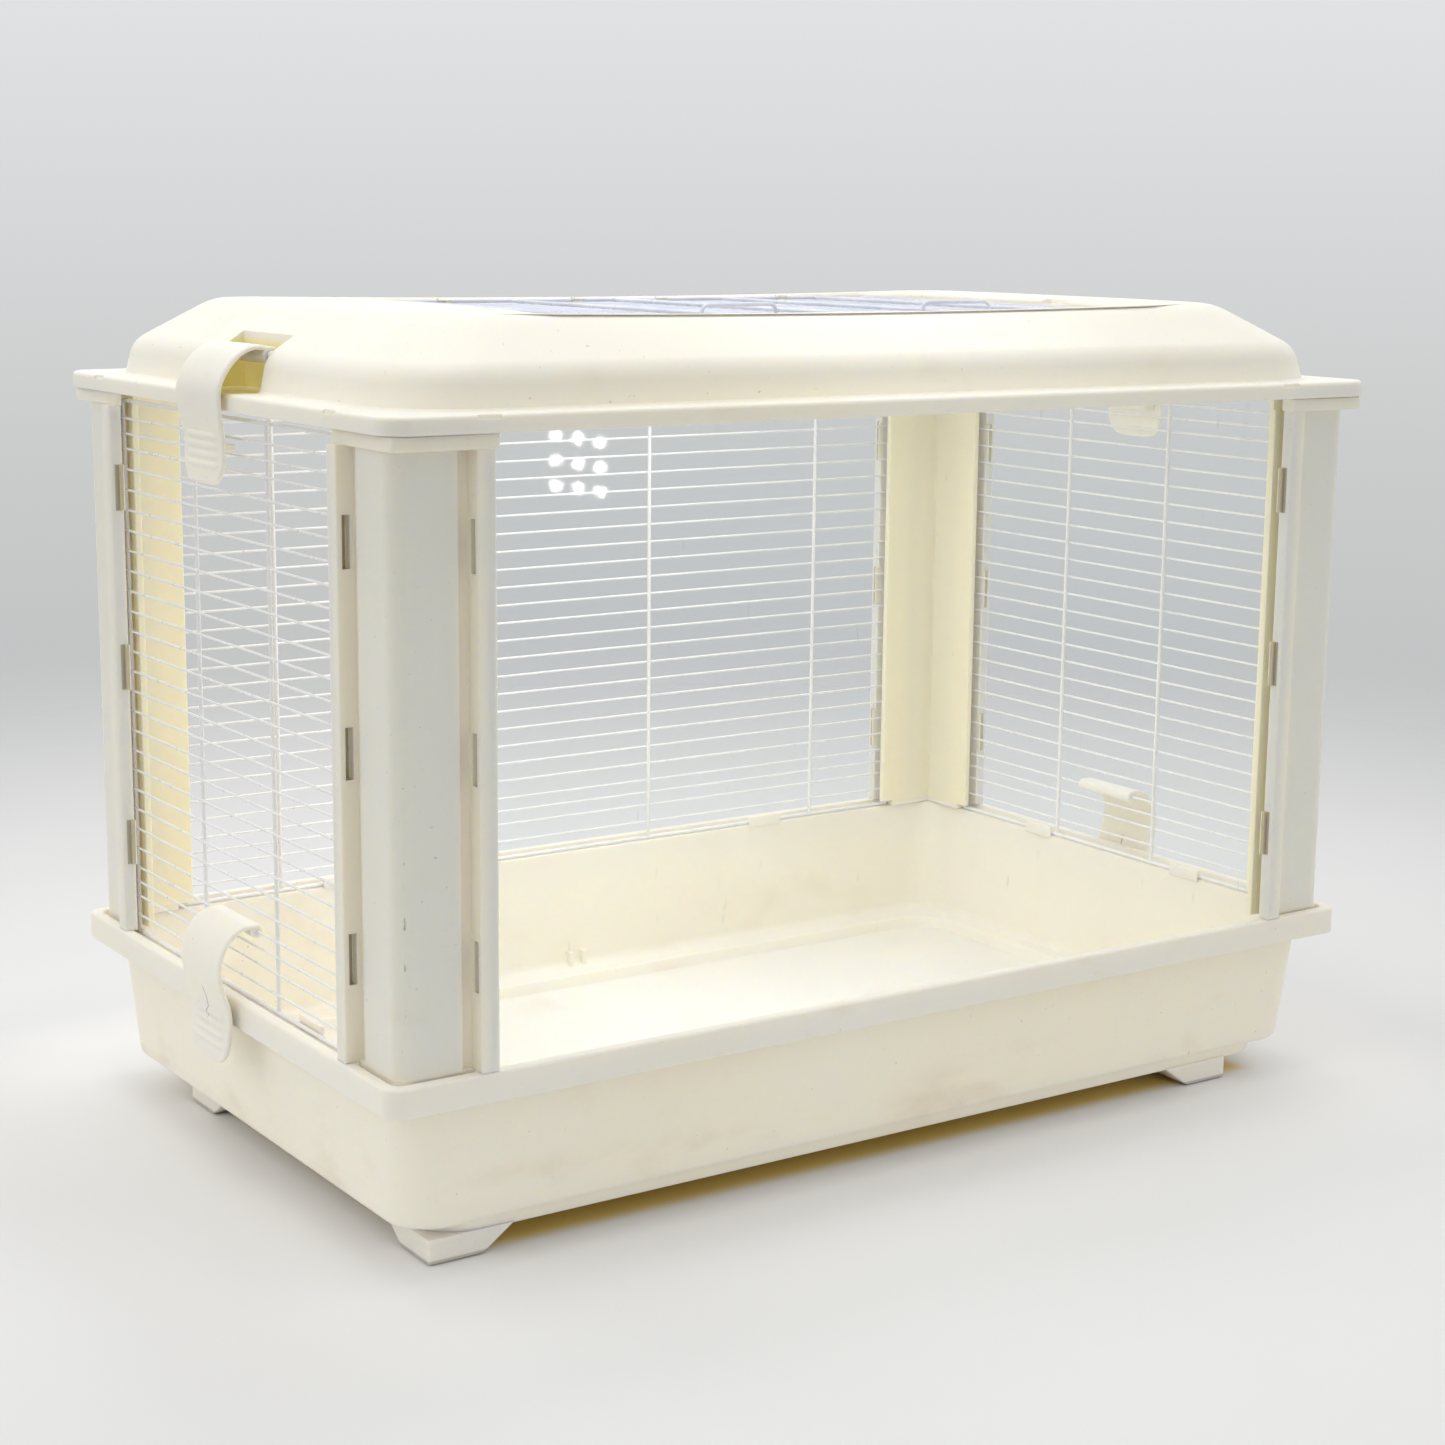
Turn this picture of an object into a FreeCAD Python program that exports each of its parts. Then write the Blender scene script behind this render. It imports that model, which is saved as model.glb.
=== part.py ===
import FreeCAD, Part
import math
import os

# Small-pet cage: a deep moulded tray on four feet, four corner posts, wire walls at the
# left, right and back, a clear sheet at the front, and a domed lid with two wire doors.
# Millimetres. +X runs along the long side, the clear sheet faces -Y, +Z is up, and the
# origin is on the floor under the middle of the tray's rim.

Vector = FreeCAD.Vector

# ---- driving dimensions ----
WALL = 2.5                      # moulded wall thickness

RIM_HALF_X = 300.0              # tray rim, half its length
RIM_HALF_Y = 184.0
RIM_RADIUS = 9.0
RIM_TOP = 95.0
RIM_BOTTOM = 80.6
LEDGE_Z = 91.5                  # ledge inside the rim, which carries the wire walls
LIP_WIDTH = 6.5                 # width of the rim's raised outer lip
WALL_BOTTOM = 18.0              # where the tray's wall turns under
PAN_BOTTOM = 11.0               # underside of the sunk pan in the tray's floor
PAN_HALF_X = 271.5
PAN_FRONT = -164.0
PAN_BACK = 148.5
PAN_RADIUS = 28.0
DRAFT = 2.0                     # how much the pan narrows from its top to its bottom

FOOT_SIZE = 28.5                # side of a foot's flat pad
FOOT_SLOPE = 17.0               # how far a foot's inner sides run out by its top
FOOT_LEFT = -270.5              # outer edges of the feet
FOOT_RIGHT = 236.0
FOOT_FRONT = -163.5
FOOT_BACK = 112.0

POST_X = 292.0                  # outer faces of the posts' bodies
POST_Y = 177.0
POST_TOP = 376.5
FLANGE_TOP = 383.2
POST_DEPTH = 10.0               # outer face to inner face
LEG = 33.0                      # body leg, from the corner to the recess
RECESS_END = 39.0
WING_END = 48.5
RECESS_DEPTH = 2.5
BAR_PROUD = 6.6                 # how far the end bar stands out of the body's face
CHANNEL = (40.5, 0.3, 6.4)      # floor, near side and far side of the panel channel
SLOT_HEIGHTS = (144.0, 239.0, 334.0)
SLOT_TALL = 24.0

BAR_R = 0.65                    # thin wires
UPRIGHT_R = 1.1                 # thick wires
WELD = 0.15                     # depth to which crossing wires are welded
FINE_PITCH = 8.0
PITCH = 10.7
TOP_BAR_Z = 370.0
FRAME_LOW_Z = 92.9
FRAME_HIGH_Z = 379.0
SIDE_WIRE_X = 289.4             # plane of the thin wires in the side walls
SIDE_WALL_HALF = 136.0          # half the length of a side wall's thin wires
SIDE_UPRIGHTS = (-134.6, -43.0, 43.0, 134.6)
BACK_WIRE_Y = 174.4
BACK_WALL_HALF = 251.0
BACK_UPRIGHTS = (-249.6, -187.5, -62.5, 62.5, 187.5, 249.6)

PANEL_HALF_X = 251.0
PANEL_THICK = 2.0
PANEL_FRONT_Y = -175.2
PANEL_BOTTOM = 91.9
PANEL_TOP = 382.5
PANEL_CORNER = 3.0

LID_HALF_X = 299.0
LID_HALF_Y = 188.0
LID_RADIUS = 14.0
LID_BOTTOM = 383.6
LID_RIM_TOP = 392.0
DOME_BASE_INSET = 15.0          # rim edge to the foot of the dome's wall
DOME_TOP_INSET = 54.0           # rim edge to the flat top
DOME_TOP = 432.5
DOME_CORNER = 42.0              # radius of the dome's upright corners at its foot
DOME_TAPER = 0.35               # how much that radius shrinks for each mm of inset
SHOULDER_R = 16.0               # round between the dome's wall and its slope
WALL_TILT = 82.0                # degrees from level, the dome's wall
SLOPE_TILT = 33.0               # degrees from level, the dome's slope
WINDOW_HALF_X = 180.0
WINDOW_HALF_Y = 118.0
WINDOW_LEDGE_Z = 424.9          # top of the flange that carries the roof wires
WINDOW_LEDGE = 8.0
WINDOW_RADIUS = 6.0

POCKET_INNER_X = 266.0          # back of the latch pockets
POCKET_HALF_Y = 29.0
PIN_X = 276.0
PIN_Z = 409.5
PIN_R = 2.2

RAIL_R = 1.25                   # roof rails
RAIL_Y = 112.0
RAIL_Z = 426.2
CROSS_R = 1.0                   # wires across the roof and around the doors
DOOR_INNER_X = 3.0
DOOR_OUTER_X = 138.0
DOOR_Z = 428.75
DOOR_BACK_Y = 107.5
CLIP_PLACES = (28.0, 113.0)     # along each door, from the middle of the roof
CLIP_WIDTH = 8.0
CLIP_SKIN = 0.8
PULL_X = 68.0
PULL_WIDTH = 44.0
PULL_TOP_Z = 434.0

LATCH_WIDTH = 46.0
LATCH_THICK = 2.5
LATCH_ROUND = 13.0              # radius of the two lower corners of a latch's tongue
RIB_R = 1.1                     # grip ribs across the tongue
RUNNING = 0.07                  # radial clearance of a latch on its pin or wire


# ---- helpers ----
def box(x0, x1, y0, y1, z0, z1):
    low = Vector(min(x0, x1), min(y0, y1), min(z0, z1))
    return Part.makeBox(abs(x1 - x0), abs(y1 - y0), abs(z1 - z0), low)


def rod(start, end, radius):
    line = Vector(*end) - Vector(*start)
    return Part.makeCylinder(radius, line.Length, Vector(*start), line)


def rounded_wire(half_x, half_y, radius, z, center_y=0.0):
    """Rounded rectangle in the plane at height z."""
    edges = []
    ends = []
    for start_deg, sx, sy in ((0, 1, 1), (90, -1, 1), (180, -1, -1), (270, 1, -1)):
        mid_x = sx * (half_x - radius)
        mid_y = center_y + sy * (half_y - radius)
        points = []
        for turn in (0, 45, 90):
            angle = math.radians(start_deg + turn)
            points.append(Vector(mid_x + radius * math.cos(angle), mid_y + radius * math.sin(angle), z))
        if ends:
            edges.append(Part.LineSegment(ends[-1], points[0]).toShape())
        edges.append(Part.Arc(*points).toShape())
        ends += [points[0], points[2]]
    edges.append(Part.LineSegment(ends[-1], ends[0]).toShape())
    return Part.Wire(edges)


def rounded_block(half_x, half_y, radius, z0, z1):
    face = Part.Face(rounded_wire(half_x, half_y, radius, z0))
    return face.extrude(Vector(0, 0, z1 - z0))


def stack(half_x, half_y, profile, ruled=True):
    """Solid through rounded rectangles; each profile entry is (inset, corner radius, height)."""
    wires = [rounded_wire(half_x - inset, half_y - inset, radius, z) for inset, radius, z in profile]
    return Part.makeLoft(wires, True, ruled)


def extrude_outline(points, z0, z1):
    wire = Part.makePolygon([Vector(x, y, z0) for x, y in points + points[:1]])
    return Part.Face(wire).extrude(Vector(0, 0, z1 - z0))


def mirror_x(shape):
    return shape.mirror(Vector(0, 0, 0), Vector(1, 0, 0))


def mirror_y(shape):
    return shape.mirror(Vector(0, 0, 0), Vector(0, 1, 0))


def fuse(shapes):
    return shapes[0].multiFuse(shapes[1:]).removeSplitter()


# ---- tray ----
def tray_foot(outer_x, toward_x, outer_y, toward_y):
    """Pad at one corner; its two inner sides slope outwards up to the pan."""
    def level(extra, z):
        reach = FOOT_SIZE + extra
        corners = [(outer_x, outer_y), (outer_x + toward_x * reach, outer_y),
                   (outer_x + toward_x * reach, outer_y + toward_y * reach),
                   (outer_x, outer_y + toward_y * reach)]
        return Part.makePolygon([Vector(x, y, z) for x, y in corners + corners[:1]])
    return Part.makeLoft([level(0, 0), level(FOOT_SLOPE, PAN_BOTTOM + 1.0)], True, True)


def tray_pan(shrink, z_low, z_high):
    """Sunk part of the floor, narrowing a little downwards."""
    middle = (PAN_FRONT + PAN_BACK) / 2
    half_y = (PAN_BACK - PAN_FRONT) / 2
    radius = PAN_RADIUS - shrink
    low = rounded_wire(PAN_HALF_X - shrink - DRAFT, half_y - shrink - DRAFT, radius, z_low, middle)
    high = rounded_wire(PAN_HALF_X - shrink, half_y - shrink, radius, z_high, middle)
    return Part.makeLoft([low, high], True, True)


def base_tray():
    under_rim = 12.0
    at_bottom = 16.0
    rim = stack(RIM_HALF_X, RIM_HALF_Y, [(0, RIM_RADIUS, RIM_BOTTOM), (0, RIM_RADIUS, RIM_TOP - 1.2),
                                         (0.35, RIM_RADIUS - 0.35, RIM_TOP - 0.4),
                                         (1.1, RIM_RADIUS - 1.1, RIM_TOP)])
    under = rounded_block(RIM_HALF_X - WALL, RIM_HALF_Y - WALL, RIM_RADIUS - WALL,
                          RIM_BOTTOM - 1, LEDGE_Z - WALL)
    wall = stack(RIM_HALF_X, RIM_HALF_Y, [(at_bottom + 3, 21, WALL_BOTTOM),
                                          (at_bottom + 0.9, 22, WALL_BOTTOM + 0.9),
                                          (at_bottom, 22, WALL_BOTTOM + 3), (under_rim, 18, RIM_BOTTOM),
                                          (under_rim - 0.6, 18, LEDGE_Z)])
    hollow = stack(RIM_HALF_X, RIM_HALF_Y, [(at_bottom + WALL + 4, 16, WALL_BOTTOM + WALL),
                                            (at_bottom + WALL + 1, 18, WALL_BOTTOM + WALL + 1.2),
                                            (at_bottom + WALL, 19.5, WALL_BOTTOM + WALL + 4),
                                            (under_rim + WALL, 15.5, RIM_BOTTOM),
                                            (under_rim + WALL - 0.6, 15.5, RIM_TOP + 1)])
    ledge_radius = 5.0
    ledge_cut = rounded_block(RIM_HALF_X - LIP_WIDTH, RIM_HALF_Y - LIP_WIDTH, ledge_radius,
                              LEDGE_Z, RIM_TOP + 1)
    body = fuse([rim.cut(under), wall, tray_pan(0, PAN_BOTTOM, WALL_BOTTOM + 1)])
    feet = []
    for outer_x, toward_x in ((FOOT_LEFT, 1), (FOOT_RIGHT, -1)):
        for outer_y, toward_y in ((FOOT_FRONT, 1), (FOOT_BACK, -1)):
            feet.append(tray_foot(outer_x, toward_x, outer_y, toward_y))
    body = fuse([body] + feet)
    body = body.cut(ledge_cut).cut(hollow)
    body = body.cut(tray_pan(WALL, PAN_BOTTOM + WALL, WALL_BOTTOM + WALL + 1))
    return fuse([body] + tray_tabs())


def tray_tabs():
    """Upright tabs inside the wire walls, and a pair of ribs low on the back wall."""
    tab_x = 284.5
    tab_y = 169.3
    thick = 1.7
    half = 12.0
    low = LEDGE_Z - 1.5
    high = RIM_TOP + 2
    tabs = []
    for middle in (58.0, -74.0):
        side = box(tab_x, tab_x + thick, middle - half, middle + half, low, high)
        tabs += [side, mirror_x(side)]
    for middle in (150.0, -150.0):
        tabs.append(box(middle - half, middle + half, tab_y, tab_y + thick, low, high))
    rib_low = WALL_BOTTOM + WALL - 0.5
    rib_tall = 10.0
    rib_half = 1.2
    for middle in (0.0, 9.5):
        tabs.append(box(middle - rib_half, middle + rib_half, 161.5, 167.6, rib_low, rib_low + rib_tall))
    return tabs


# ---- corner posts ----
def post_outline():
    """Section of a post: x and y are depths in from its two outer faces, the corner at 0, 0."""
    floor, near, far = CHANNEL
    wing = [(LEG, 0), (LEG, RECESS_DEPTH), (RECESS_END, RECESS_DEPTH), (RECESS_END, -BAR_PROUD),
            (WING_END, -BAR_PROUD), (WING_END, near), (floor, near), (floor, far), (WING_END, far),
            (WING_END, POST_DEPTH), (POST_DEPTH, POST_DEPTH)]
    other = [(y, x) for x, y in reversed(wing[:-1])]
    radius = 9.0
    corner = []
    for step in range(9):
        angle = math.radians(180 + 90 * step / 8)
        corner.append((radius + radius * math.cos(angle), radius + radius * math.sin(angle)))
    return wing + other + corner


def post_cores():
    """Hollows along a post: an L inside the body and a slim one inside each end bar."""
    skin = 2.2
    end = LEG - 2
    back = POST_DEPTH - skin
    corner = [(skin, end), (skin, 9.0), (4.2, 4.2), (9.0, skin), (end, skin), (end, back), (back, back),
              (back, end)]
    bar = [(41, -BAR_PROUD + 1.5), (47, -BAR_PROUD + 1.5), (47, -1.2), (41, -1.2)]
    return [corner, bar, [(y, x) for x, y in bar]]


def both_wings(x0, x1, y0, y1, z0, z1):
    """A box on one wing of the section and its twin on the other."""
    return [box(x0, x1, y0, y1, z0, z1), box(y0, y1, x0, x1, z0, z1)]


def corner_post():
    """Post in its own corner frame, before it is turned into one of the four corners."""
    floor, near, far = CHANNEL
    base = RIM_TOP + 0.1
    post = extrude_outline(post_outline(), base, POST_TOP)
    brim = 3.0
    front_brim = 7.5
    flange_end = WING_END + 1.5
    flange = box(-brim, flange_end, -front_brim, POST_DEPTH, POST_TOP, FLANGE_TOP)
    flange = flange.fuse(box(-brim, POST_DEPTH, POST_DEPTH, flange_end, POST_TOP, FLANGE_TOP))
    near_in, far_in, tip = 0.5, POST_DEPTH - 0.5, 40.0
    spigot = [(near_in, near_in), (tip, near_in), (tip, far_in), (far_in, far_in), (far_in, tip),
              (near_in, tip)]
    spigot = extrude_outline(spigot, LEDGE_Z + 0.2, base)
    hooks = []
    cuts = both_wings(floor - 0.2, 60, near - 0.1, far + 0.1, POST_TOP - 1, FLANGE_TOP + 1)
    for middle in SLOT_HEIGHTS:
        low = middle - SLOT_TALL / 2
        hooks += both_wings(WING_END, WING_END + 2, -2, near, low, low + SLOT_TALL)
        cuts += both_wings(RECESS_END - 1, 43.5, -3.9, 1.9, low, low + SLOT_TALL)
    for outline in post_cores():
        cuts.append(extrude_outline(outline, base + 3, POST_TOP - 2))
    solid = fuse([post, flange, spigot] + hooks)
    return solid.cut(Part.Compound(cuts))


def place_post(post, side_x, side_y):
    """Turn the corner frame so that its two outer faces look outwards at this corner."""
    shape = post.copy()
    if side_x > 0:
        shape = mirror_x(shape)
    if side_y > 0:
        shape = mirror_y(shape)
    shape.translate(Vector(side_x * POST_X, side_y * POST_Y, 0))
    return shape


# ---- wire walls and clear front ----
def bar_heights():
    """Thin wires close together at both ends of the wall and evenly spaced between."""
    gaps = [FINE_PITCH] * 2 + [PITCH] * 21 + [FINE_PITCH] * 2 + [PITCH]
    heights = [TOP_BAR_Z]
    for gap in gaps:
        heights.append(heights[-1] - gap)
    return heights


def wire_wall(half_length, uprights):
    """Wall along X with its thin wires at y = 0 and its thick wires behind them."""
    behind = -(BAR_R + UPRIGHT_R - WELD)
    wires = [rod((-half_length, 0, z), (half_length, 0, z), BAR_R) for z in bar_heights()]
    for z in (FRAME_LOW_Z, FRAME_HIGH_Z):
        wires.append(rod((-half_length, behind, z), (half_length, behind, z), UPRIGHT_R))
    for x in uprights:
        wires.append(rod((x, behind, FRAME_LOW_Z), (x, behind, FRAME_HIGH_Z), UPRIGHT_R))
    return fuse(wires)


def side_wall(side):
    wall = wire_wall(SIDE_WALL_HALF, SIDE_UPRIGHTS)
    wall.rotate(Vector(0, 0, 0), Vector(0, 0, 1), -90 * side)
    wall.translate(Vector(side * SIDE_WIRE_X, 0, 0))
    return wall


def back_wall():
    wall = wire_wall(BACK_WALL_HALF, BACK_UPRIGHTS)
    wall.translate(Vector(0, BACK_WIRE_Y, 0))
    return wall


def front_panel():
    sheet = box(-PANEL_HALF_X, PANEL_HALF_X, PANEL_FRONT_Y, PANEL_FRONT_Y + PANEL_THICK,
                PANEL_BOTTOM, PANEL_TOP)
    upright = [edge for edge in sheet.Edges if abs(edge.tangentAt(edge.FirstParameter).y) > 0.9]
    return sheet.makeFillet(PANEL_CORNER, upright)


# ---- lid ----
def dome_profile(shrink):
    """Steep wall, a round shoulder and a straight slope, from the rim up to the flat top."""
    slope = math.radians(SLOPE_TILT)
    wall = math.radians(WALL_TILT)
    wall_run = 1.6
    foot_run = 1.3
    steps = 6
    center_inset = DOME_BASE_INSET + wall_run + SHOULDER_R
    run = DOME_TOP_INSET - center_inset
    center_z = DOME_TOP - run * math.tan(slope) - SHOULDER_R / math.cos(slope)
    round_part = []
    for step in range(steps + 1):
        tilt = wall + (slope - wall) * step / steps
        inset = center_inset - (SHOULDER_R - shrink) * math.sin(tilt)
        height = center_z + (SHOULDER_R - shrink) * math.cos(tilt)
        round_part.append((inset, height))
    foot = (round_part[0][0] - foot_run, LID_RIM_TOP - WALL)
    last_inset, last_z = round_part[-1]
    top_z = DOME_TOP - shrink
    top = (last_inset + (top_z - last_z) / math.tan(slope), top_z)
    profile = []
    for inset, height in [foot] + round_part + [top]:
        corner = DOME_CORNER - DOME_TAPER * (inset - DOME_BASE_INSET) - shrink
        profile.append((inset, corner, height))
    return profile


def lid_window(shell):
    """Open the roof, then add the lip and the flange that carry the roof wires."""
    lip_low = WINDOW_LEDGE_Z - WALL
    opening = rounded_block(WINDOW_HALF_X, WINDOW_HALF_Y, WINDOW_RADIUS, lip_low - 5, DOME_TOP + 5)
    lip = rounded_block(WINDOW_HALF_X + WALL, WINDOW_HALF_Y + WALL, WINDOW_RADIUS + WALL, lip_low, DOME_TOP)
    flange = rounded_block(WINDOW_HALF_X + 1, WINDOW_HALF_Y + 1, WINDOW_RADIUS + 1, lip_low,
                           WINDOW_LEDGE_Z)
    clear = rounded_block(WINDOW_HALF_X - WINDOW_LEDGE, WINDOW_HALF_Y - WINDOW_LEDGE, WINDOW_RADIUS / 2,
                          lip_low - 5, DOME_TOP + 5)
    ring = fuse([lip.cut(opening), flange.cut(clear)])
    return fuse([shell.cut(opening), ring]).cut(Part.Compound(clip_grooves()))


def clip_grooves():
    """Room in the window's rear flange for the clips to turn on the back rail."""
    air = 0.5
    radius = RAIL_R + RUNNING + CLIP_SKIN + air
    grooves = []
    for side in (-1, 1):
        for x in CLIP_PLACES:
            start = side * x - CLIP_WIDTH / 2 - air
            end = side * x + CLIP_WIDTH / 2 + air
            grooves.append(rod((start, RAIL_Y, RAIL_Z), (end, RAIL_Y, RAIL_Z), radius))
    return grooves


def latch_pocket(side, dome):
    """Recess in the end of the dome: what to cut away, and the lining to add."""
    cut = box(side * 310, side * POCKET_INNER_X, -POCKET_HALF_Y, POCKET_HALF_Y, LID_RIM_TOP, DOME_TOP + 5)
    lining = box(side * (LID_HALF_X - DOME_BASE_INSET + 0.5), side * (POCKET_INNER_X - WALL),
                 -POCKET_HALF_Y - WALL, POCKET_HALF_Y + WALL, LID_RIM_TOP - WALL, DOME_TOP)
    return cut, lining.common(dome)


def snap_notches():
    """Small notches in the lid's edge, above the ends of the posts."""
    half = 6.0
    deep = 1.2
    low, high = LID_RIM_TOP - 2.2, LID_RIM_TOP + 1
    notches = []
    for side in (-1, 1):
        for x in (-246.0, 246.0):
            notches.append(box(x - half, x + half, side * (LID_HALF_Y - deep), side * (LID_HALF_Y + 1),
                               low, high))
        for y in (-135.0, 135.0):
            notches.append(box(side * (LID_HALF_X - deep), side * (LID_HALF_X + 1), y - half, y + half,
                               low, high))
    return notches


def lid_shell():
    rim = stack(LID_HALF_X, LID_HALF_Y, [(0, LID_RADIUS, LID_BOTTOM), (0, LID_RADIUS, LID_RIM_TOP - 1.8),
                                         (0.5, LID_RADIUS - 0.5, LID_RIM_TOP - 0.6),
                                         (1.6, LID_RADIUS - 1.6, LID_RIM_TOP)])
    hollow_rim = rounded_block(LID_HALF_X - WALL, LID_HALF_Y - WALL, LID_RADIUS - WALL,
                               LID_BOTTOM - 1, LID_RIM_TOP - WALL)
    dome = stack(LID_HALF_X, LID_HALF_Y, dome_profile(0))
    inside = stack(LID_HALF_X, LID_HALF_Y, dome_profile(WALL))
    shell = fuse([rim, dome]).cut(hollow_rim).cut(inside)
    shell = lid_window(shell)
    for side in (-1, 1):
        cut, lining = latch_pocket(side, dome)
        shell = fuse([shell, lining]).cut(cut)
    return shell.cut(Part.Compound(snap_notches()))


def latch_pin(side):
    return rod((side * PIN_X, -POCKET_HALF_Y, PIN_Z), (side * PIN_X, POCKET_HALF_Y, PIN_Z), PIN_R)


# ---- roof wires and doors ----
def roof_rails():
    """Long rails at the front and back of the window, and the wire between the doors."""
    reach = WINDOW_HALF_X - 2
    cross_z = RAIL_Z + RAIL_R + CROSS_R - WELD
    wires = [rod((-reach, y, RAIL_Z), (reach, y, RAIL_Z), RAIL_R) for y in (-RAIL_Y, RAIL_Y)]
    wires.append(rod((0, -RAIL_Y, cross_z), (0, RAIL_Y, cross_z), CROSS_R))
    return fuse(wires)


def grille_rows(limit):
    """Heights along Y of the roof's thin wires, evenly spaced about the middle."""
    count = int(limit / PITCH)
    return [PITCH * index for index in range(-count, count + 1)]


def roof_grille(side):
    """Fixed wires beside a door."""
    cross_z = RAIL_Z + RAIL_R + CROSS_R - WELD
    row_z = cross_z - CROSS_R - BAR_R + WELD
    inner_x, outer_x = 141.0, 176.0
    wires = []
    for x in (inner_x, (inner_x + outer_x) / 2, outer_x):
        wires.append(rod((side * x, -RAIL_Y, cross_z), (side * x, RAIL_Y, cross_z), CROSS_R))
    for y in grille_rows(RAIL_Y - 4):
        wires.append(rod((side * (inner_x - 1), y, row_z), (side * (outer_x + 1), y, row_z), BAR_R))
    return fuse(wires)


def door(side):
    """Wire door: a frame, one wire down its middle and the thin wires under them."""
    row_z = DOOR_Z - CROSS_R - BAR_R + WELD
    wires = []
    for y in (-RAIL_Y, DOOR_BACK_Y):
        wires.append(rod((side * DOOR_INNER_X, y, DOOR_Z), (side * DOOR_OUTER_X, y, DOOR_Z), CROSS_R))
    for x in (DOOR_INNER_X, (DOOR_INNER_X + DOOR_OUTER_X) / 2, DOOR_OUTER_X):
        wires.append(rod((side * x, -RAIL_Y, DOOR_Z), (side * x, DOOR_BACK_Y, DOOR_Z), CROSS_R))
    for y in grille_rows(RAIL_Y - 10):
        wires.append(rod((side * DOOR_INNER_X, y, row_z), (side * DOOR_OUTER_X, y, row_z), BAR_R))
    return fuse(wires)


def door_pull(side):
    """Low wire bail that stands on the door's front wire."""
    foot_z = DOOR_Z + CROSS_R
    leg = 0.3
    bend = PULL_TOP_Z - foot_z - leg
    bend_low = PULL_TOP_Z - bend
    left = side * PULL_X - PULL_WIDTH / 2
    right = left + PULL_WIDTH
    halfway = bend * (1 - math.sqrt(0.5))

    def point(x, z):
        return Vector(x, -RAIL_Y, z)

    left_bend = Part.Arc(point(left, bend_low), point(left + halfway, PULL_TOP_Z - halfway),
                         point(left + bend, PULL_TOP_Z))
    right_bend = Part.Arc(point(right - bend, PULL_TOP_Z), point(right - halfway, PULL_TOP_Z - halfway),
                          point(right, bend_low))
    route = [Part.LineSegment(point(left, foot_z), point(left, bend_low)), left_bend,
             Part.LineSegment(point(left + bend, PULL_TOP_Z), point(right - bend, PULL_TOP_Z)), right_bend,
             Part.LineSegment(point(right, bend_low), point(right, foot_z))]
    start = Part.Wire([Part.Circle(point(left, foot_z), Vector(0, 0, 1), CROSS_R).toShape()])
    return Part.Wire([part.toShape() for part in route]).makePipeShell([start], True, False)


def door_clips(side):
    """Two folded clips that grip the door's back wire and turn on the back rail."""
    clips = []
    for x in CLIP_PLACES:
        start = side * x - CLIP_WIDTH / 2
        shapes = []
        for y, z, radius in ((RAIL_Y, RAIL_Z, RAIL_R + RUNNING), (DOOR_BACK_Y, DOOR_Z, CROSS_R)):
            shapes.append(rod((start, y, z), (start + CLIP_WIDTH, y, z), radius + CLIP_SKIN))
        dy, dz = RAIL_Y - DOOR_BACK_Y, RAIL_Z - DOOR_Z
        web = Part.makeBox(CLIP_WIDTH, math.hypot(dy, dz), 2 * CLIP_SKIN, Vector(0, 0, -CLIP_SKIN))
        web.rotate(Vector(0, 0, 0), Vector(1, 0, 0), math.degrees(math.atan2(dz, dy)))
        web.translate(Vector(start, DOOR_BACK_Y, DOOR_Z))
        past = start + CLIP_WIDTH + 1
        bores = [rod((start - 1, RAIL_Y, RAIL_Z), (past, RAIL_Y, RAIL_Z), RAIL_R + RUNNING),
                 rod((start - 1, DOOR_BACK_Y, DOOR_Z), (past, DOOR_BACK_Y, DOOR_Z), CROSS_R)]
        clips.append(fuse(shapes + [web]).cut(Part.Compound(bores)))
    return Part.Compound(clips)


# ---- latches ----
# Each latch is a strip bent along a smooth line of (distance out from the middle, height).
UPPER_LINE = [(276.3, 412.4), (284.0, 413.4), (291.5, 410.3), (298.0, 403.8), (302.2, 396.0),
              (303.1, 388.0), (302.0, 379.0), (300.4, 370.0), (300.2, 361.0), (301.2, 348.0)]
LOWER_LINE = [(289.6, 131.45), (296.0, 131.2), (302.4, 127.6), (307.0, 121.4), (309.4, 114.0),
              (309.3, 106.0), (307.4, 98.5), (305.2, 91.5), (304.5, 84.0), (305.4, 75.0), (307.0, 62.0)]


def strip_section(line, thick):
    """Face of a bent strip in the XZ plane, half the thickness to each side of its line."""
    curve = Part.BSplineCurve()
    curve.interpolate([Vector(x, 0, z) for x, z in line])
    low, high = curve.FirstParameter, curve.LastParameter
    count = 24
    sides = ([], [])
    for step in range(count + 1):
        at = low + (high - low) * step / count
        point = curve.value(at)
        along = curve.tangent(at)[0]
        normal = Vector(along.z, 0, -along.x)
        sides[0].append(point + normal * (thick / 2))
        sides[1].append(point - normal * (thick / 2))
    edges = []
    for side in sides:
        edge = Part.BSplineCurve()
        edge.interpolate(side)
        edges.append(edge.toShape())
    for index in (0, -1):
        edges.append(Part.LineSegment(sides[0][index], sides[1][index]).toShape())
    return Part.Face(Part.Wire(Part.__sortEdges__(edges)))


def tongue_shape(line):
    """Block that rounds the two lower corners of a latch's tongue."""
    low_z = line[-1][1] - 1
    half = LATCH_WIDTH / 2
    block = box(270, 320, -half, half, low_z, 420)
    lower = [edge for edge in block.Edges
             if edge.BoundBox.ZMax < low_z + 0.1 and edge.BoundBox.YLength < 0.1]
    return block.makeFillet(LATCH_ROUND, lower)


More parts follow.
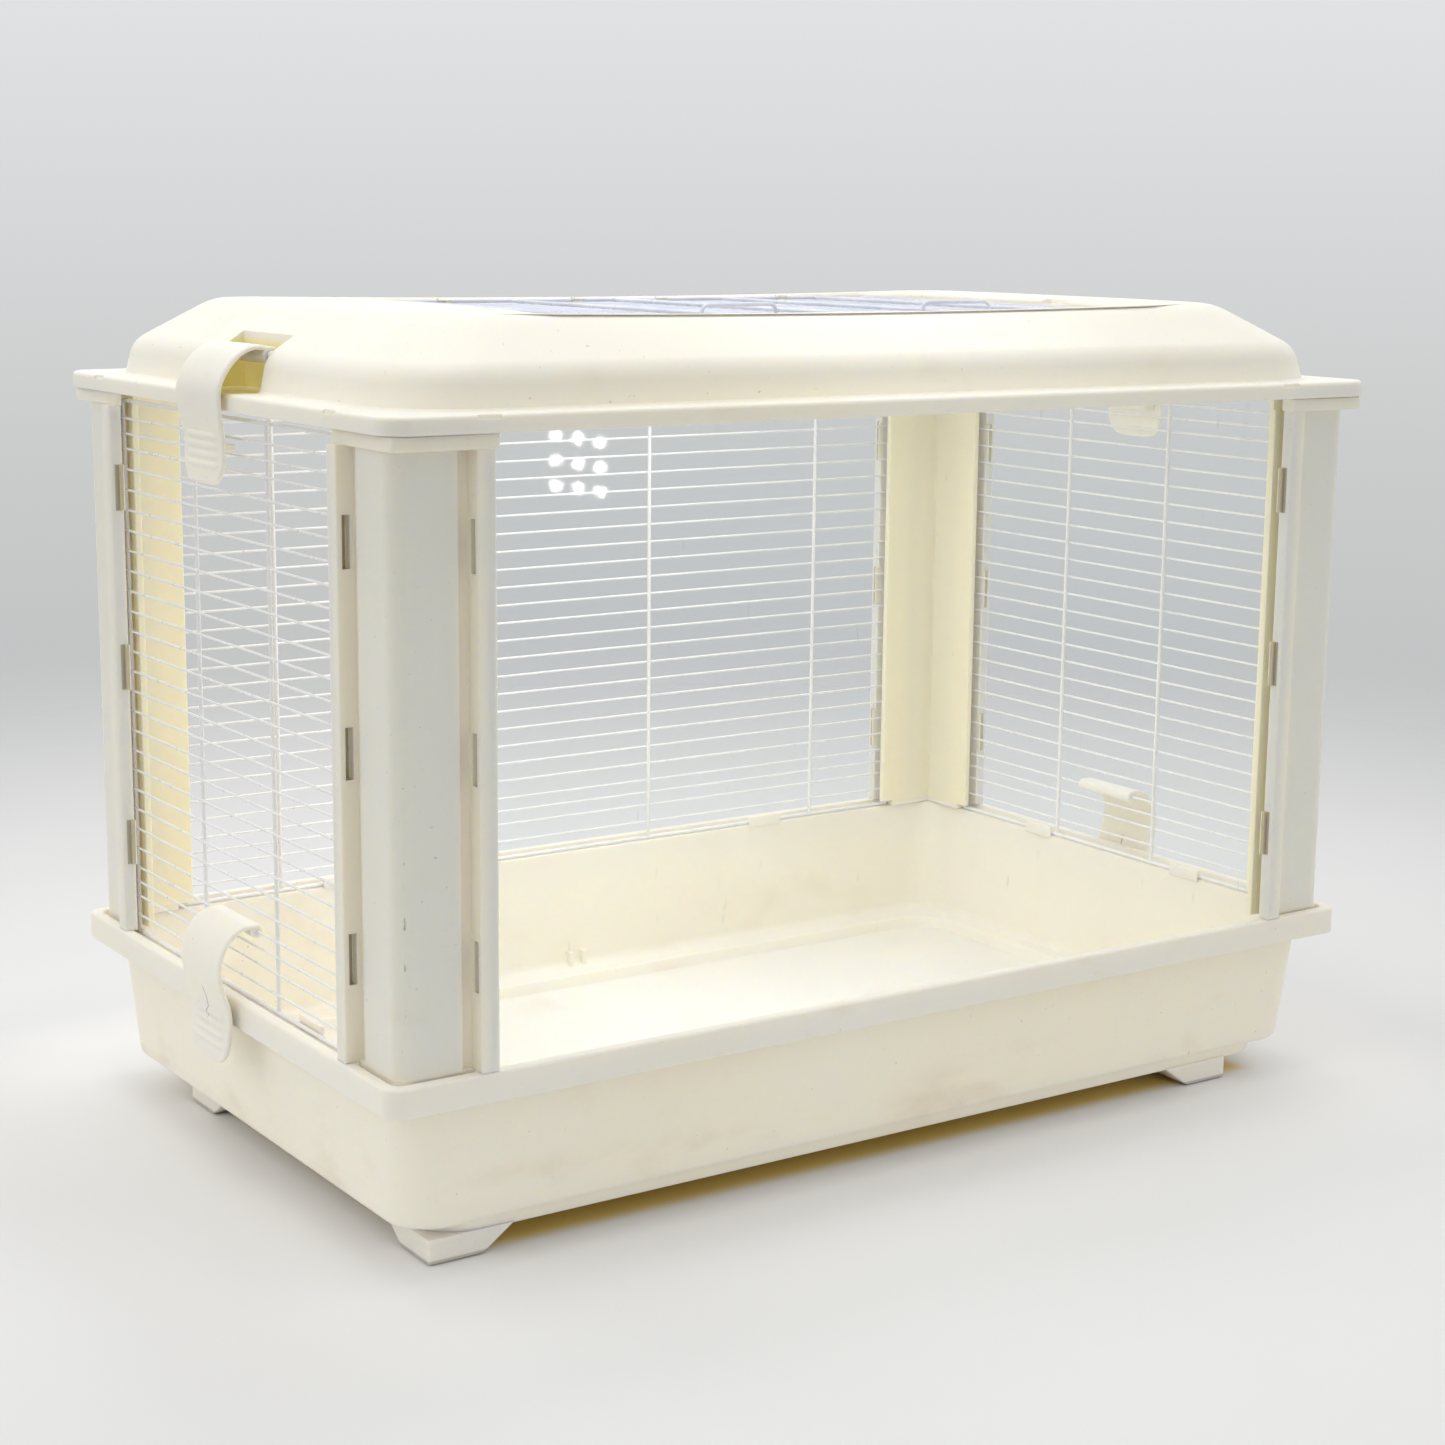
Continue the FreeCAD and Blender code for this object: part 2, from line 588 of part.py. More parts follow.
def latch(side, line, pivot, pivot_r, eye_r, nib):
    """Strap with an eye at its top, grip ribs on its tongue and a catch nib inside."""
    half = LATCH_WIDTH / 2
    strap = strip_section(line, LATCH_THICK)
    strap.translate(Vector(0, -half, 0))
    strap = strap.extrude(Vector(0, LATCH_WIDTH, 0))
    px, pz = pivot
    eye = rod((px, -half, pz), (px, half, pz), eye_r)
    bore = rod((px, -half - 1, pz), (px, half + 1, pz), pivot_r + RUNNING)
    ribs = []
    end_x, end_z = line[-1]
    rib_end = half - 6
    for index in range(4):
        z = end_z + 8.0 + 4.2 * index
        near = min(line, key=lambda point: abs(point[1] - z))
        x = near[0] + (end_x - near[0]) * 0.25 + LATCH_THICK / 2
        ribs.append(rod((x, -rib_end, z), (x, rib_end, z), RIB_R))
    nib_x, nib_z, nib_reach = nib
    catch = box(nib_x, nib_x - nib_reach, -half + 5, half - 5, nib_z - 1.6, nib_z + 1.6)
    shape = fuse([strap, eye, catch] + ribs)
    shape = shape.cut(bore).common(tongue_shape(line))
    return shape if side > 0 else mirror_x(shape)


def upper_latch(side):
    return latch(side, UPPER_LINE, (PIN_X, PIN_Z), PIN_R, 4.2, (300.4, 366.0, 8.6))


def lower_latch(side):
    hook_z = bar_heights()[-4]
    return latch(side, LOWER_LINE, (SIDE_WIRE_X, hook_z), BAR_R, 3.4, (304.9, 78.0, 3.2))


# ---- assembly ----
SIDES = {"left": -1, "right": 1}


def build_nodes():
    nodes = {"base_tray": base_tray()}
    post = corner_post()
    for x_name, side_x in SIDES.items():
        for y_name, side_y in (("front", -1), ("back", 1)):
            nodes["post_%s_%s" % (y_name, x_name)] = place_post(post, side_x, side_y)
        nodes["wire_wall_" + x_name] = side_wall(side_x)
        nodes["latch_pin_" + x_name] = latch_pin(side_x)
        nodes["roof_grille_" + x_name] = roof_grille(side_x)
        nodes["door_" + x_name] = door(side_x)
        nodes["door_pull_" + x_name] = door_pull(side_x)
        nodes["door_clips_" + x_name] = door_clips(side_x)
        nodes["upper_latch_" + x_name] = upper_latch(side_x)
        nodes["lower_latch_" + x_name] = lower_latch(side_x)
    nodes["wire_wall_back"] = back_wall()
    nodes["front_panel"] = front_panel()
    nodes["lid_shell"] = lid_shell()
    nodes["roof_rails"] = roof_rails()
    return nodes


os.makedirs("parts", exist_ok=True)
for name, shape in build_nodes().items():
    assert shape.isValid(), name
    size = shape.BoundBox
    print("%-20s solids %2d  volume %10.0f mm3  x %7.1f %7.1f  y %7.1f %7.1f  z %6.1f %6.1f" % (
        name, len(shape.Solids), shape.Volume, size.XMin, size.XMax, size.YMin, size.YMax,
        size.ZMin, size.ZMax))
    shape.exportStep("parts/%s.step" % name)
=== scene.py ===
import bpy
import bmesh
import cmath
import math
import random
from mathutils import Matrix, Vector


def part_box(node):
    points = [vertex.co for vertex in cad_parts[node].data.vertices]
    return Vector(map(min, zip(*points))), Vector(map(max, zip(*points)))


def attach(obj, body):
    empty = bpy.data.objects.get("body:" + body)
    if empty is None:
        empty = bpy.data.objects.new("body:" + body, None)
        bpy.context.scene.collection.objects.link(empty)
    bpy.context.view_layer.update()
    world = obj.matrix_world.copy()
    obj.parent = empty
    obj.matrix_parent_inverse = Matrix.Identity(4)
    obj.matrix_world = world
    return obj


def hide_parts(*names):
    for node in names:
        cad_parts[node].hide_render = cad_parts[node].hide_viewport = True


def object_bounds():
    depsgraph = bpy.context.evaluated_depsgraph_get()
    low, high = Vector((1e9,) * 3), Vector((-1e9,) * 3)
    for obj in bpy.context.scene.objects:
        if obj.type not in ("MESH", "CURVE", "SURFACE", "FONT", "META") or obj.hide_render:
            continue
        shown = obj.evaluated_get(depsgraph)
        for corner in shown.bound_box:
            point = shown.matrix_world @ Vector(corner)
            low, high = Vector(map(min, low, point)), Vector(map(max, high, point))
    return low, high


# Small-pet cage: the moulded pieces, latches and wire walls are rebuilt here as rounded meshes
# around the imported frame; the roof wires, doors, clips, pins and clear sheet stay as packed.
# Lengths are in metres where MM is in them, and otherwise in millimetres up to the studio.

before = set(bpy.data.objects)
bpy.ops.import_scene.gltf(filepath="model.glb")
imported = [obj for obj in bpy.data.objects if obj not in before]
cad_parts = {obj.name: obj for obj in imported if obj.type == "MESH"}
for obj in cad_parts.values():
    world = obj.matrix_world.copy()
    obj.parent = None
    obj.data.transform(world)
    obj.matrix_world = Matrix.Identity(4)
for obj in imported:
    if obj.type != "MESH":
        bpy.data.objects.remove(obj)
cad_low, cad_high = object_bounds()

MM = 0.001
SIDES = {"left": -1, "right": 1}

# ---- sizes, taken from the frame ----
tray_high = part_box("base_tray")[1]
lid_low, lid_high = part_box("lid_shell")
panel_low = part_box("front_panel")[0]
pin_low, pin_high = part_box("latch_pin_right")

# ---- sizes that more than one piece needs, in millimetres ----
WALL = 2.5                           # moulded wall thickness
TRAY_LEDGE = 91.5                    # inside the tray's rim, under the frame
SIDE_WIRES_X = 289.4
SLOT_MIDDLES = (144.0, 239.0, 334.0)
SLOT_HALF = 12.0

# ---- how finely the meshes are divided ----
CORNER_STEPS = 8                     # round each corner of a tray or lid ring
LONG_STEPS = 26                      # along its sides
SHORT_STEPS = 16
WIRE_SIDES = 10
BAR_SIDES = 32
FLOOR_SIDES = 96


# ---- mesh helpers ----
def mesh_object(name, verts, faces):
    mesh = bpy.data.meshes.new(name)
    mesh.from_pydata([tuple(v) for v in verts], [], faces)
    build = bmesh.new()
    build.from_mesh(mesh)
    bmesh.ops.recalc_face_normals(build, faces=build.faces)
    build.to_mesh(mesh)
    build.free()
    return placed(name, mesh)


def placed(name, data):
    """New object in the scene with the given mesh, light or camera."""
    obj = bpy.data.objects.new(name, data)
    bpy.context.scene.collection.objects.link(obj)
    return obj


def angles(count):
    return [2 * math.pi * step / count for step in range(count)]


def rounded_ring(half_x, half_y, radius, z, middle_y=0.0):
    """Points of a rounded rectangle at height z, the same number for every ring."""
    corners = []
    for quarter, (sx, sy) in enumerate(((1, 1), (-1, 1), (-1, -1), (1, -1))):
        middle = Vector((sx * (half_x - radius), middle_y + sy * (half_y - radius), z))
        arc = []
        for step in range(CORNER_STEPS + 1):
            angle = (quarter + step / CORNER_STEPS) * math.pi / 2
            arc.append(middle + radius * Vector((math.cos(angle), math.sin(angle), 0)))
        corners.append(arc)
    points = []
    for quarter, arc in enumerate(corners):
        points += arc
        following = corners[(quarter + 1) % 4][0]
        steps = LONG_STEPS if quarter % 2 == 0 else SHORT_STEPS
        points += [arc[-1].lerp(following, step / steps) for step in range(1, steps)]
    return points


def loft(name, rings, closed=False):
    """Skin through rings of equal length; closed joins the last ring to the first."""
    count = len(rings[0])
    verts = [point for ring in rings for point in ring]
    faces = []
    for band in range(len(rings) if closed else len(rings) - 1):
        a = band * count
        b = (band + 1) % len(rings) * count
        for i in range(count):
            j = (i + 1) % count
            faces.append((a + i, a + j, b + j, b + i))
    if not closed:
        faces.append(tuple(reversed(range(count))))
        faces.append(tuple(range(len(verts) - count, len(verts))))
    return mesh_object(name, verts, faces)


def round_corners(corners):
    """Closed outline from (x, y, radius) corners, each rounded by a true arc; complex points."""
    outline = []
    for i, (x, y, radius) in enumerate(corners):
        here = complex(x, y)
        before = complex(*corners[i - 1][:2]) - here
        after = complex(*corners[(i + 1) % len(corners)][:2]) - here
        before /= abs(before)
        after /= abs(after)
        half = abs(cmath.phase(after / before)) / 2
        middle = here + (before + after) / abs(before + after) * radius / math.sin(half)
        start = here + before * radius / math.tan(half) - middle
        turn = cmath.phase((here + after * radius / math.tan(half) - middle) / start)
        steps = max(3, round(radius))
        for step in range(steps + 1):
            outline.append(middle + start * cmath.exp(1j * turn * step / steps))
    return outline


def inset_outline(outline, distance):
    """The outline moved inwards; it runs anticlockwise."""
    moved = []
    for i, point in enumerate(outline):
        before = point - outline[i - 1]
        after = outline[(i + 1) % len(outline)] - point
        normal = 1j * (before / abs(before) + after / abs(after))
        normal /= abs(normal)
        lean = max(0.5, (normal / (1j * after / abs(after))).real)
        moved.append(point + normal * distance / lean)
    return moved


def area(outline):
    """Signed area: positive when the outline runs anticlockwise."""
    pairs = zip(outline, outline[1:] + outline[:1])
    return sum(a.real * b.imag - a.imag * b.real for a, b in pairs) / 2


def extruded(name, outline, z0, z1, chamfer):
    """Upright prism of an outline, with small chamfers at both ends."""
    if area(outline) < 0:
        outline = outline[::-1]
    levels = [(z0, chamfer), (z0 + 0.4 * chamfer, 0.3 * chamfer), (z0 + chamfer, 0)]
    levels += [(z0 + z1 - z, inset) for z, inset in reversed(levels)]
    rings = []
    for z, inset in levels:
        ring = inset_outline(outline, inset) if inset else outline
        rings.append([Vector((p.real, p.imag, z)) for p in ring])
    return loft(name, rings)


def block(x0, x1, y0, y1, z0, z1, bevel=0.0):
    """Box between two corners, with its edges rounded."""
    build = bmesh.new()
    bmesh.ops.create_cube(build, size=1.0)
    size = Vector((abs(x1 - x0), abs(y1 - y0), abs(z1 - z0)))
    middle = Vector((x0 + x1, y0 + y1, z0 + z1)) / 2
    bmesh.ops.transform(build, matrix=Matrix.Translation(middle) @ Matrix.Diagonal((*size, 1.0)),
                        verts=build.verts)
    if bevel:
        round_edges(build, list(build.edges), bevel)
    return build


def round_edges(build, edges, radius):
    bmesh.ops.bevel(build, geom=edges, offset=radius, segments=3, profile=0.5, affect="EDGES")


def gather(name, blocks):
    """One object from several bmeshes that don't touch."""
    mesh = bpy.data.meshes.new(name)
    whole = bmesh.new()
    for part in blocks:
        part.to_mesh(mesh)
        part.free()
        whole.from_mesh(mesh)
    whole.to_mesh(mesh)
    whole.free()
    return placed(name, mesh)


def combine(obj, tool, operation):
    """Boolean obj with tool, for good, and remove the tool."""
    step = obj.modifiers.new("combine", "BOOLEAN")
    step.operation = operation
    step.solver = "EXACT"
    step.object = tool
    graph = bpy.context.evaluated_depsgraph_get()
    mesh = bpy.data.meshes.new_from_object(obj.evaluated_get(graph))
    obj.modifiers.clear()
    obj.data = mesh
    bpy.data.objects.remove(tool)


def smooth(obj, angle=32):
    """Smooth shading that breaks at real edges, with flat faces kept flat between small rounds."""
    obj.data.shade_smooth()
    obj.data.set_sharp_from_angle(angle=math.radians(angle))
    weigh = obj.modifiers.new("weighted_normals", "WEIGHTED_NORMAL")
    weigh.keep_sharp = True
    return obj


def finish_piece(obj, body, material, node):
    """Give a piece its material and slot, and let it stand for a CAD node on a body."""
    obj.data.materials.clear()
    obj.data.materials.append(material)
    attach(obj, body)
    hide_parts(node)


# ---- colours of the cage ----
CREAM = (0.945, 0.897, 0.822)
CREAM_WARM = (0.930, 0.876, 0.785)
CREAM_DIRTY = (0.780, 0.735, 0.620)
CREAM_TONE_AND_GLOW = (0.985, 0.885, 0.655)   # a post's own yellower tone, and painted glow of light through the plastic towards the cage's inside
GOLDEN_GLOW = (0.98, 0.86, 0.42)          # painted glow in the latch pockets
SLOT_SHADE = (0.52, 0.48, 0.36)           # painted shade inside the posts' slot openings
SPECK = (0.42, 0.37, 0.27)
SCUFF = (0.50, 0.48, 0.42)
SMEAR = (0.50, 0.47, 0.38)
PAD_DIRT = (0.2, 0.19, 0.16)
RUB_MARK = (0.20, 0.19, 0.17)
SCRATCH = (0.52, 0.47, 0.45)
WALL_COAT = ((0.93, 0.935, 0.95), (0.87, 0.88, 0.90))
ROOF_COAT = ((0.74, 0.77, 0.88), (0.60, 0.64, 0.76))
WORN_COAT = (0.50, 0.49, 0.46)
STEEL = (0.86, 0.85, 0.82)
STEEL_TARNISH = (0.66, 0.62, 0.54)


# ---- materials ----
def new_material(name):
    """New material, its node tree and its main shader."""
    material = bpy.data.materials.new(name)
    material.use_nodes = True
    tree = material.node_tree
    return material, tree, tree.nodes["Principled BSDF"]


def add(tree, kind, **values):
    """New node with its settings and inputs given by name."""
    node = tree.nodes.new(kind)
    for key, value in values.items():
        if hasattr(node, key):
            setattr(node, key, value)
        else:
            node.inputs[key.replace("_", " ")].default_value = value
    return node


def noise(tree, scale, detail=3.0, stretch=(1, 1, 1)):
    """Noise over the piece's own coordinates, in metres; stretch is along X, Y and Z."""
    place = add(tree, "ShaderNodeTexCoord")
    mapping = add(tree, "ShaderNodeMapping")
    mapping.inputs["Scale"].default_value = stretch
    tree.links.new(place.outputs["Object"], mapping.inputs["Vector"])
    texture = add(tree, "ShaderNodeTexNoise", Scale=scale, Detail=detail)
    tree.links.new(mapping.outputs["Vector"], texture.inputs["Vector"])
    return texture.outputs["Fac"]


def ramp(tree, source, low, high, low_value=0.0, high_value=1.0):
    """Maps source from low..high to low_value..high_value, with flat ends."""
    node = add(tree, "ShaderNodeMapRange", interpolation_type="SMOOTHSTEP")
    tree.links.new(source, node.inputs["Value"])
    values = {"From Min": low, "From Max": high, "To Min": low_value, "To Max": high_value}
    for key, value in values.items():
        node.inputs[key].default_value = value
    return node.outputs["Result"]


def mix_colour(tree, share, first, second):
    node = add(tree, "ShaderNodeMix", data_type="RGBA")
    tree.links.new(share, node.inputs["Factor"])
    for name, value in (("A", first), ("B", second)):
        socket = [s for s in node.inputs if s.name == name and s.type == "RGBA"][0]
        if isinstance(value, tuple):
            socket.default_value = (*value, 1.0)
        else:
            tree.links.new(value, socket)
    return [s for s in node.outputs if s.type == "RGBA"][0]


def math_node(tree, operation, first, second):
    node = add(tree, "ShaderNodeMath", operation=operation)
    for socket, value in zip(node.inputs, (first, second)):
        if isinstance(value, (int, float)):
            socket.default_value = value
        else:
            tree.links.new(value, socket)
    return node.outputs[0]


def product(tree, first, second):
    return math_node(tree, "MULTIPLY", first, second)


def bump(tree, bsdf, layers):
    """Chain of bumps; each layer is (height source, strength, depth in metres)."""
    before = None
    for height, strength, depth in layers:
        node = add(tree, "ShaderNodeBump", Strength=strength, Distance=depth)
        tree.links.new(height, node.inputs["Height"])
        if before is not None:
            tree.links.new(before, node.inputs["Normal"])
        before = node.outputs["Normal"]
    tree.links.new(before, bsdf.inputs["Normal"])


def band(tree, axis, low, high, soft):
    """1 between two places along an axis of the piece, fading over soft metres outside."""
    place = add(tree, "ShaderNodeTexCoord")
    split = add(tree, "ShaderNodeSeparateXYZ")
    tree.links.new(place.outputs["Object"], split.inputs[0])
    rise = ramp(tree, split.outputs[axis], low - soft, low)
    fall = ramp(tree, split.outputs[axis], high, high + soft, 1.0, 0.0)
    return product(tree, rise, fall)


def inside_of(tree, half_x, half_y, soft=0.3 * MM):
    """1 within an upright box about the middle of the cage, fading over soft metres outside."""
    along = band(tree, "X", -half_x, half_x, soft)
    return product(tree, along, band(tree, "Y", -half_y, half_y, soft))


def cream_plastic(name, grime=0.3, extra=None):
    """Satin moulded plastic: faint clouding and yellowing, hairline scuffs, dust and a fine grain."""
    material, tree, bsdf = new_material(name)
    clouds = ramp(tree, noise(tree, 5.0, 4.0), 0.35, 0.7)
    colour = mix_colour(tree, clouds, CREAM, CREAM_WARM)
    patches = ramp(tree, noise(tree, 22.0, 6.0, (1, 1, 1.6)), 0.56, 0.78, 0.0, grime)
    colour = mix_colour(tree, patches, colour, CREAM_DIRTY)
    specks = ramp(tree, noise(tree, 420.0, 2.0), 0.735, 0.78, 0.0, 0.5)
    colour = mix_colour(tree, specks, colour, SPECK)
    streaks = noise(tree, 60.0, 5.0, (0.5, 0.5, 14))
    scratches = ramp(tree, streaks, 0.7, 0.76, 0.0, 0.3 * grime)
    colour = mix_colour(tree, scratches, colour, SCUFF)
    if extra:
        colour = extra(tree, colour)
    tree.links.new(colour, bsdf.inputs["Base Color"])
    rough = ramp(tree, noise(tree, 30.0, 5.0), 0.3, 0.7, 0.36, 0.5)
    tree.links.new(rough, bsdf.inputs["Roughness"])
    bsdf.inputs["Specular IOR Level"].default_value = 0.42
    bsdf.inputs["Subsurface Weight"].default_value = 0.6
    bsdf.inputs["Subsurface Radius"].default_value = (1.0, 0.8, 0.34)
    bsdf.inputs["Subsurface Scale"].default_value = 5 * MM
    bump(tree, bsdf, [(noise(tree, 7.0, 1.5), 0.35, 1.2 * MM),
                      (noise(tree, 900.0, 2.0), 0.25, 0.06 * MM)])
    return material


def post_marks(tree, colour):
    """The near post's colouring: its tone, painted glow and painted slot shade, and a broken line of dark rub
    marks beside its round corner.
    """
    colour = post_glow_and_slot_shade(tree, colour)
    line = band(tree, "X", -287.4 * MM, -287.0 * MM, 0.4 * MM)
    reach = band(tree, "Z", 130 * MM, 196 * MM, 6 * MM)
    dots = ramp(tree, noise(tree, 330.0, 2.0, (1, 1, 0.5)), 0.55, 0.64, 0.0, 0.6)
    marks = product(tree, product(tree, line, reach), dots)
    return mix_colour(tree, marks, colour, RUB_MARK)


def tray_dirt(tree, colour):
    """Grey handling dirt low on the tray's outside, and darker pads under its feet."""
    low = band(tree, "Z", 0.0, 28 * MM, 25 * MM)
    smears = ramp(tree, noise(tree, 14.0, 7.0, (1, 1, 2.5)), 0.5, 0.74, 0.0, 0.28)
    inner = inside_of(tree, 282.5 * MM, 166.5 * MM, 1 * MM)
    outside = math_node(tree, "SUBTRACT", 1.0, inner)
    feet = band(tree, "Z", -10 * MM, 10 * MM, 1 * MM)
    outside = math_node(tree, "MAXIMUM", outside, feet)
    dirty = product(tree, product(tree, low, smears), outside)
    colour = mix_colour(tree, dirty, colour, SMEAR)
    pads = band(tree, "Z", -10 * MM, 1.2 * MM, 1.5 * MM)
    return mix_colour(tree, product(tree, pads, 0.5), colour, PAD_DIRT)


def post_glow_and_slot_shade(tree, colour):
    """A yellower tone on all the post, with painted glow on its faces towards the cage's inside, and painted
    shade inside each slot opening of the end bars.
    """
    # painted glow towards the cage's inside, over a yellower tone that all of the post has
    tone_and_glow = 0.0
    for half_x, half_y in ((291.5, 136.3), (251.3, 176.5), (282.2, 167.2)):
        tone_and_glow = math_node(tree, "MAXIMUM", inside_of(tree, half_x * MM, half_y * MM), tone_and_glow)
    tone_and_glow = math_node(tree, "MAXIMUM", product(tree, tone_and_glow, 0.8), 0.25)
    colour = mix_colour(tree, tone_and_glow, colour, CREAM_TONE_AND_GLOW)
    # painted shade inside each slot opening of the end bars
    slot_shade = 0.0
    for middle in SLOT_MIDDLES:
        tall = band(tree, "Z", (middle - SLOT_HALF) * MM, (middle + SLOT_HALF) * MM, 0.2 * MM)
        slot_shade = math_node(tree, "ADD", tall, slot_shade)
    side = math_node(tree, "SUBTRACT", inside_of(tree, 296.0 * MM, 137.6 * MM),
                     inside_of(tree, 292.1 * MM, 137.6 * MM))
    front = math_node(tree, "SUBTRACT", inside_of(tree, 252.6 * MM, 181.0 * MM),
                      inside_of(tree, 252.6 * MM, 177.1 * MM))
    slot_shade = product(tree, slot_shade, math_node(tree, "MAXIMUM", side, front))
    return mix_colour(tree, slot_shade, colour, SLOT_SHADE)


def pocket_glow(tree, colour):
    """Deeper yellow inside the latch pockets, where the lid's plastic is shaded and lit from behind."""
    along = band(tree, "X", -262 * MM, 262 * MM, 1 * MM)
    outside = math_node(tree, "SUBTRACT", 1.0, along)
    across = band(tree, "Y", -29.2 * MM, 29.2 * MM, 0.3 * MM)
    tall = band(tree, "Z", 392.5 * MM, 413 * MM, 4 * MM)
    glow = product(tree, product(tree, outside, across), tall)
    return mix_colour(tree, product(tree, glow, 0.85), colour, GOLDEN_GLOW)


def latch_scratch(tree, colour):
    """One scratch down the strap of a lower latch."""
    line = band(tree, "Y", 1.2 * MM, 1.8 * MM, 0.4 * MM)
    reach = band(tree, "Z", 84 * MM, 97 * MM, 3 * MM)
    return mix_colour(tree, product(tree, line, reach), colour, SCRATCH)


def coated_wire(name, light, dark):
    """White dipped coating, slightly lumpy, greyed by handling and thin at some welds."""
    material, tree, bsdf = new_material(name)
    clouds = ramp(tree, noise(tree, 26.0, 4.0), 0.35, 0.7)
    colour = mix_colour(tree, clouds, light, dark)
    worn = ramp(tree, noise(tree, 240.0, 3.0), 0.70, 0.76, 0.0, 0.6)
    colour = mix_colour(tree, worn, colour, WORN_COAT)
    tree.links.new(colour, bsdf.inputs["Base Color"])
    rough = ramp(tree, noise(tree, 120.0, 3.0), 0.3, 0.7, 0.26, 0.42)
    tree.links.new(rough, bsdf.inputs["Roughness"])
    bsdf.inputs["Coat Weight"].default_value = 0.3
    bsdf.inputs["Coat Roughness"].default_value = 0.2
    bump(tree, bsdf, [(noise(tree, 500.0, 2.0), 0.4, 0.1 * MM)])
    return material


def spring_steel(name):
    """Folded steel clip: brushed along its fold, with a little tarnish."""
    material, tree, bsdf = new_material(name)
    tarnish = ramp(tree, noise(tree, 180.0, 4.0), 0.45, 0.7)
    colour = mix_colour(tree, tarnish, STEEL, STEEL_TARNISH)
    tree.links.new(colour, bsdf.inputs["Base Color"])
    bsdf.inputs["Metallic"].default_value = 1.0
    brushed = noise(tree, 700.0, 2.0, (0.08, 1, 1))
    tree.links.new(ramp(tree, brushed, 0.3, 0.7, 0.25, 0.45), bsdf.inputs["Roughness"])
    bump(tree, bsdf, [(brushed, 0.3, 0.05 * MM)])
    return material


def clear_sheet(name):
    """Thin clear sheet: see-through, a mirror at a slant, with faint haze and rubbed streaks."""
    material, tree, bsdf = new_material(name)
    bsdf.inputs["Base Color"].default_value = (0.93, 0.95, 0.96, 1.0)
    bsdf.inputs["IOR"].default_value = 1.5
    bsdf.inputs["Roughness"].default_value = 0.02
    streaks = ramp(tree, noise(tree, 34.0, 7.0, (1, 1, 0.35)), 0.63, 0.86, 0.0, 0.16)
    rubs = ramp(tree, noise(tree, 240.0, 3.0, (1, 1, 0.2)), 0.70, 0.78, 0.0, 0.12)
    haze = math_node(tree, "ADD", math_node(tree, "ADD", streaks, rubs), 0.012)
    slant = add(tree, "ShaderNodeLayerWeight")
    slant.inputs["Blend"].default_value = 0.5
    sheen = math_node(tree, "POWER", slant.outputs["Facing"], 5.0)
    sheen = math_node(tree, "ADD", product(tree, sheen, 0.95), 0.04)
    share = math_node(tree, "ADD", sheen, haze)
    share = math_node(tree, "MINIMUM", share, 1.0)
    clear = add(tree, "ShaderNodeBsdfTransparent", Color=(0.975, 0.985, 0.985, 1.0))
    mix = add(tree, "ShaderNodeMixShader")
    tree.links.new(share, mix.inputs["Fac"])
    tree.links.new(clear.outputs[0], mix.inputs[1])
    tree.links.new(bsdf.outputs[0], mix.inputs[2])
    tree.links.new(mix.outputs[0], tree.nodes["Material Output"].inputs["Surface"])
    return material


# ---- tray ----
def tray_rings():
    """Section of the tray from the middle of its inner floor, over the rim, to the middle underneath."""
    rim_top, rim_low, ledge, shelf = 95, 80.6, TRAY_LEDGE, TRAY_LEDGE - WALL
    floor, under = 20.5, 18
    pan_floor, pan_low = 13.5, 11

    def ring(inset, radius, z):
        return rounded_ring(tray_high.x - inset * MM, tray_high.y - inset * MM, radius * MM, z * MM)

    def pan(shrink, z):
        half_x, half_y, radius = ((size - shrink) * MM for size in (271.5, 156.25, 28))
        return rounded_ring(half_x, half_y, radius, z * MM, -7.75 * MM)

    rings = [pan(9.5, pan_floor), pan(6.2, pan_floor), pan(5.0, pan_floor + 0.5)]
    rings += [pan(4.3, pan_floor + 1.6), pan(3.0, floor - 1.6), pan(2.3, floor - 0.4), pan(1.2, floor)]
    rings += [ring(23.5, 15, floor), ring(21.4, 16, floor + 0.5), ring(19.6, 17.5, floor + 2)]
    rings += [ring(18.6, 19, floor + 4.6), ring(17.6, 18, 42), ring(16.0, 16.5, 62)]
    rings += [ring(14.5, 15.5, rim_low), ring(14.1, 15.5, ledge - 1.2), ring(13.6, 15.2, ledge - 0.3)]
    rings += [ring(12.8, 14.5, ledge), ring(7.0, 5.6, ledge), ring(6.6, 5.2, ledge + 0.3)]
    rings += [ring(6.5, 5, ledge + 0.9), ring(6.3, 5, rim_top - 0.9), ring(6.0, 5.2, rim_top - 0.3)]
    rings += [ring(5.3, 5.6, rim_top), ring(1.6, 7.4, rim_top), ring(0.8, 8.2, rim_top - 0.25)]
    rings += [ring(0.25, 8.8, rim_top - 0.8), ring(0.0, 9, rim_top - 1.6), ring(0.0, 9, rim_low + 0.7)]
    rings += [ring(0.2, 8.9, rim_low + 0.2), ring(0.7, 8.5, rim_low), ring(2.0, 7.2, rim_low)]
    rings += [ring(2.4, 6.7, rim_low + 0.4), ring(2.5, 6.5, shelf), ring(11.0, 17.4, shelf)]
    rings += [ring(11.6, 18, shelf - 1.2), ring(12.0, 18, rim_low), ring(13.4, 19.5, 60), ring(14.7, 21, 40)]
    rings += [ring(16.0, 22, under + 3.4), ring(16.5, 22, under + 1.5), ring(17.5, 21.5, under + 0.4)]
    rings += [ring(19.2, 21, under), pan(-0.8, under), pan(0.1, under - 0.5), pan(1.6, pan_low + 0.9)]
    rings += [pan(2.2, pan_low + 0.25), pan(3.4, pan_low), pan(9.0, pan_low)]
    return rings


